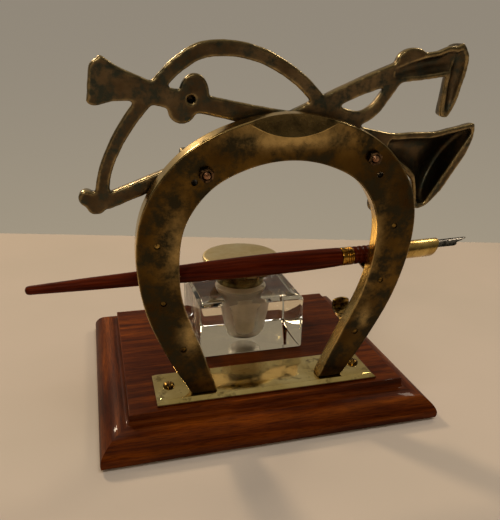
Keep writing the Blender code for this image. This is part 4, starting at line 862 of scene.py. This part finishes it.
def slab(low, high, ease=0.12):
    """A small block between two corners with its upper and lower edges eased."""
    low, high = np.asarray(low, float), np.asarray(high, float)
    rows = []
    for inset, height in ((ease, low[2]), (0, low[2] + ease), (0, high[2] - ease), (ease, high[2])):
        (x0, y0), (x1, y1) = low[:2] + inset, high[:2] - inset
        rows.append([(x0, y0, height), (x1, y0, height), (x1, y1, height), (x0, y1, height)])
    return capped(np.array(rows))


for sign in (1, -1):
    skins.append(knuckle(sign * 2.55, sign * 7.05, 0.8))
    near, far = sorted((HINGE[0] + sign * 2.65, HINGE[0] + sign * 6.95))
    skins.append(slab((near, HINGE[1] - 5.0, 51.45), (far, HINGE[1] - 0.9, 52.55)))
collar = build_mesh("flared_collar", skins)
collar_brass = metal("spun brass", ("#7f6a38", "#b29a5e", "#d3c08a"), roughness=0.22,
                     dirt="#4a3a1c", dirt_from=0.38, scale=90.0, wear_and_sheen_tone="#efe0b4")
settle(collar, collar_brass, "plate_brass", "bottle", "bottle_collar", crease=30.0)
turn = np.linspace(0, 2 * math.pi, 24, endpoint=False)[None, :]
pin_profile = np.array([(0.3, -7.65), (0.55, -7.55), (0.7, -7.3), (0.7, 7.3), (0.55, 7.55), (0.3, 7.65)])
pin_grid = np.stack([HINGE[0] + pin_profile[:, 1:] + 0 * turn, HINGE[1] + pin_profile[:, :1] * np.cos(turn),
                     HINGE[2] + pin_profile[:, :1] * np.sin(turn)], axis=-1)
settle(build_mesh("hinge_pin", [capped(pin_grid)]), collar_brass, "plate_brass", "bottle", "lid_hinge_pin")
edge = through([(15.5, 52.7), (16.9, 53.15), (17.975, 53.88), (18.6, 54.55), (18.8, 55.22), (18.78, 55.9),
                (18.5, 56.4), (17.9, 56.66), (17.3, 56.775)], 4)
lid_hollow = [(0.0, 54.5), (12.4, 54.5), (12.7, 54.35), (12.8, 54.0), (13.0, 52.8), (13.1, 52.7)]
lid_profile = np.concatenate([lid_hollow, edge, [(13.0, 56.87), (9.4, 56.9), (0.0, 56.9)]])
skins = [ring(lid_profile[:, 0], lid_profile[:, 1], 96) + NECK_AXIS, knuckle(-2.25, 2.25, 0.8),
         slab((HINGE[0] - 2.15, HINGE[1] - 5.0, 53.12), (HINGE[0] + 2.15, HINGE[1] - 0.9, 54.32))]
lid = build_mesh("turned_lid", skins)
lid_brass, tree, shader, spots = new_material("turned brass, tarnished pale")
from_axis = add_node(tree, "Mapping", vector=spots, location=(0.0009, 0.0131, 0.0))
flat = add_node(tree, "VectorMath", {"operation": "MULTIPLY"})
tree.links.new(from_axis.outputs[0], flat.inputs[0])
flat.inputs[1].default_value = (1.0, 1.0, 0.0)
radius = add_node(tree, "VectorMath", {"operation": "LENGTH"})
tree.links.new(flat.outputs[0], radius.inputs[0])
lines = add_node(tree, "CombineXYZ", x=radius.outputs["Value"])
turning = add_node(tree, "TexNoise", vector=lines, scale=2600.0, detail=2.0)
tarnish = add_node(tree, "TexNoise", vector=spots, scale=75.0, detail=5.0, roughness=0.6)
tone = add_node(tree, "ValToRGB", stops=[(0.32, "#b5a170"), (0.5, "#cfba88"), (0.7, "#dfcfa0")], fac=tarnish)
bump = add_node(tree, "Bump", strength=0.25, distance=0.00008, height=turning)
feed(tree, shader, base_color=tone, metallic=1.0, normal=bump,
     roughness=add_node(tree, "MapRange", value=tarnish, from_min=0.3, from_max=0.7, to_min=0.46, to_max=0.3))
settle(lid, lid_brass, "plate_brass", "lid", "lid", crease=30.0)

# The pen lies in the middle pair of hooks. Its holder is turned and stained wood under a thick
# varnish, swelling towards the grip and slim at the tail.
PEN_TAIL = np.array([92.7, 40.895, 68.362])
SLOPE = math.radians(1.818)
PEN_AHEAD = np.array([-math.cos(SLOPE), 0.0, math.sin(SLOPE)])
PEN_UP = np.array([math.sin(SLOPE), 0.0, math.cos(SLOPE)])
PEN_SIDE = np.array([0.0, 1.0, 0.0])
HOLDER_LENGTH = 121.7
HOLDER_SHARES = [(0.012, 0.38), (0.18, 0.54), (0.32, 0.64), (0.44, 0.77), (0.62, 0.94), (0.76, 1.0),
                 (0.90, 0.955), (1.0, 0.87)]


def on_pen(radii, distances, sides=48):
    """Rings about the pen's axis: each radius at its distance from the tail."""
    turn = np.linspace(0, 2 * math.pi, sides, endpoint=False)[None, :, None]
    radii, distances = np.asarray(radii, float)[:, None, None], np.asarray(distances, float)[:, None, None]
    return PEN_TAIL + PEN_AHEAD * distances + PEN_UP * radii * np.cos(turn) + PEN_SIDE * radii * np.sin(turn)


swell = through(HOLDER_SHARES, 8) * (HOLDER_LENGTH, 4.35)
turns = np.linspace(0, math.pi / 2, 6)
tail_end = np.stack([1.46 * (1 - np.cos(turns)), 1.62 * np.sin(turns) + 0.02], axis=-1)
shoulder = np.array([(121.45, 3.72), (121.6, 3.55), (121.7, 3.2), (121.7, 2.5), (146.7, 2.5), (146.7, 0.1)])
holder_profile = np.concatenate([tail_end, swell[:-1], shoulder])
holder = build_mesh("turned_pen_holder", [capped(on_pen(holder_profile[:, 1], holder_profile[:, 0]))])
varnished, tree, shader, spots = new_material("stained and varnished wood")
along_pen = add_node(tree, "Mapping", vector=spots, scale=(45.0, 1100.0, 1100.0))
fibre = add_node(tree, "TexNoise", vector=along_pen, scale=1.0, detail=4.0)
worn_spots = add_node(tree, "TexNoise", vector=spots, scale=60.0, detail=3.0)
stain = add_node(tree, "ValToRGB", stops=[(0.34, "#300b02"), (0.55, "#431303"), (0.75, "#571d06")], fac=fibre)
varnish_rough = add_node(tree, "MapRange", value=worn_spots, from_min=0.35, from_max=0.7, to_min=0.26,
                         to_max=0.42)
feed(tree, shader, base_color=stain, roughness=varnish_rough, specular_ior_level=0.03, coat_weight=0.04,
     coat_roughness=0.05,
     normal=add_node(tree, "Bump", strength=0.06, distance=0.0001, height=fibre))
settle(holder, varnished, "holder_wood", "pen", "pen_holder", crease=40.0)

# A brass ferrule rolled with small beads joins the holder to a ribbed grip of turned and
# lacquered wood, dark red, whose ribs keep the fingers from slipping.
start, end = 121.85, 126.95
smooth_end = start + 5.4 * 0.35
bead = np.linspace(0, 1, 33)
bead_reach = 3.75 - 0.35 + 0.35 * np.abs(np.sin(bead * math.pi * 4)) ** 0.5
beads = np.stack([bead_reach, smooth_end + (end - smooth_end) * bead], axis=-1)
plain_end = [(2.8, start), (3.55, start), (3.72, start + 0.12), (3.75, start + 0.3),
             (3.75, smooth_end - 0.15)]
ferrule_profile = np.concatenate([plain_end, beads, [(2.8, end)]])
ferrule = build_mesh("beaded_ferrule", [(on_pen(ferrule_profile[:, 0], ferrule_profile[:, 1]), True)])
ferrule_brass = metal("gilt ferrule brass", ("#6d4a10", "#a8782a", "#cda04a"), roughness=0.22,
                      dirt="#2e1c08", dirt_from=0.36, scale=240.0, wear_and_sheen_tone="#efd08a")
settle(ferrule, ferrule_brass, "plate_brass", "pen", "pen_ferrule", crease=50.0)
rib = np.linspace(0, 1, 73)
rib_reach = 3.65 - 0.35 + 0.35 * np.abs(np.sin(rib * math.pi * 6)) ** 0.6
ribs = np.stack([rib_reach, 127.25 + 13.4 * rib], axis=-1)
grip_profile = np.concatenate([[(2.8, 127.25)], ribs, [(2.8, 140.65)]])
grip = build_mesh("ribbed_grip", [(on_pen(grip_profile[:, 0], grip_profile[:, 1]), True)])
settle(grip, varnished, "holder_wood", "pen", "pen_grip", crease=50.0)

# The socket is a thin drawn brass tube with a slanted mouth, and the nib a pressed steel blade,
# arched, slit to its tip and pierced with a small hole, held under the tube's upper wall.
tube_profile = np.array([(2.8, 140.85), (3.45, 140.85), (3.6, 141.2), (3.72, 142.4), (3.8, 143.9),
                         (3.8, 150.0), (3.8, 166.0), (3.72, 166.2), (3.28, 166.2), (3.2, 166.0),
                         (3.2, 148.0), (2.8, 146.9)])
tube = on_pen(tube_profile[:, 0], tube_profile[:, 1])
lift = np.einsum("ijk,k->ij", tube - PEN_TAIL, PEN_UP)[..., None]
far = (tube_profile[:, 1] > 165.0)[:, None, None]
tube = np.where(far, tube + PEN_AHEAD * (-2.0 + 8.0 / 15.2 * lift), tube)
socket = build_mesh("nib_socket_tube", [(tube, True)])
socket_brass = metal("drawn brass tube", ("#7d6430", "#ae9050", "#cdb06a"), roughness=0.24,
                     dirt="#6b5026", dirt_from=0.26, scale=130.0, wear_and_sheen_tone="#e2c88c")
settle(socket, socket_brass, "plate_brass", "pen", "nib_socket", crease=40.0)
NIB_FROM, NIB_LENGTH, NIB_REACH, NIB_SHEET = 156.6, 23.5, 2.9, 0.4
blade = through([(0.0, 1.0), (0.5, 1.0), (0.70, 1.0), (0.745, 0.86), (0.77, 0.66), (0.82, 0.54),
                 (0.88, 0.44), (0.94, 0.28), (1.0, 0.06)], 6)
half_turn = math.radians(78) * blade[:, 1:]
share = np.concatenate([-np.linspace(0.012, 1, 9)[::-1], [0.0], np.linspace(0.012, 1, 9)])[None, :]
angle = half_turn * share
groove = np.where(share == 0, 0.16, 0.0) * (blade[:, :1] > 0.55)
top_reach = NIB_REACH - groove
under_reach = NIB_REACH - NIB_SHEET + 0 * angle
all_reach = np.concatenate([top_reach, under_reach], axis=1)[..., None]
all_angle = np.concatenate([angle, angle[:, ::-1]], axis=1)[..., None]
nib_grid = (PEN_TAIL + PEN_AHEAD * (NIB_FROM + NIB_LENGTH * blade[:, :1, None])
            + PEN_UP * all_reach * np.cos(all_angle) + PEN_SIDE * all_reach * np.sin(all_angle))
nib = build_mesh("pressed_steel_nib", [capped(nib_grid)])
eye = PEN_TAIL + PEN_AHEAD * (NIB_FROM + NIB_LENGTH * 0.68)
turn = np.linspace(0, 2 * math.pi, 20, endpoint=False)[None, :, None]
rise = np.array([1.5, 4.0])[:, None, None]
pierce = eye + PEN_UP * rise + PEN_AHEAD * 0.75 * np.cos(turn) + PEN_SIDE * 0.5 * np.sin(turn)
carve(nib, build_mesh("nib_hole", [capped(pierce)]))
nib_steel = metal("blued nib steel", ("#3c3a38", "#66625c", "#8d877c"), roughness=0.26,
                  dirt="#241c14", dirt_from=0.38, scale=320.0, wear_and_sheen_tone="#c7b48c")
settle(nib, nib_steel, "steel", "nib", "nib", crease=40.0)
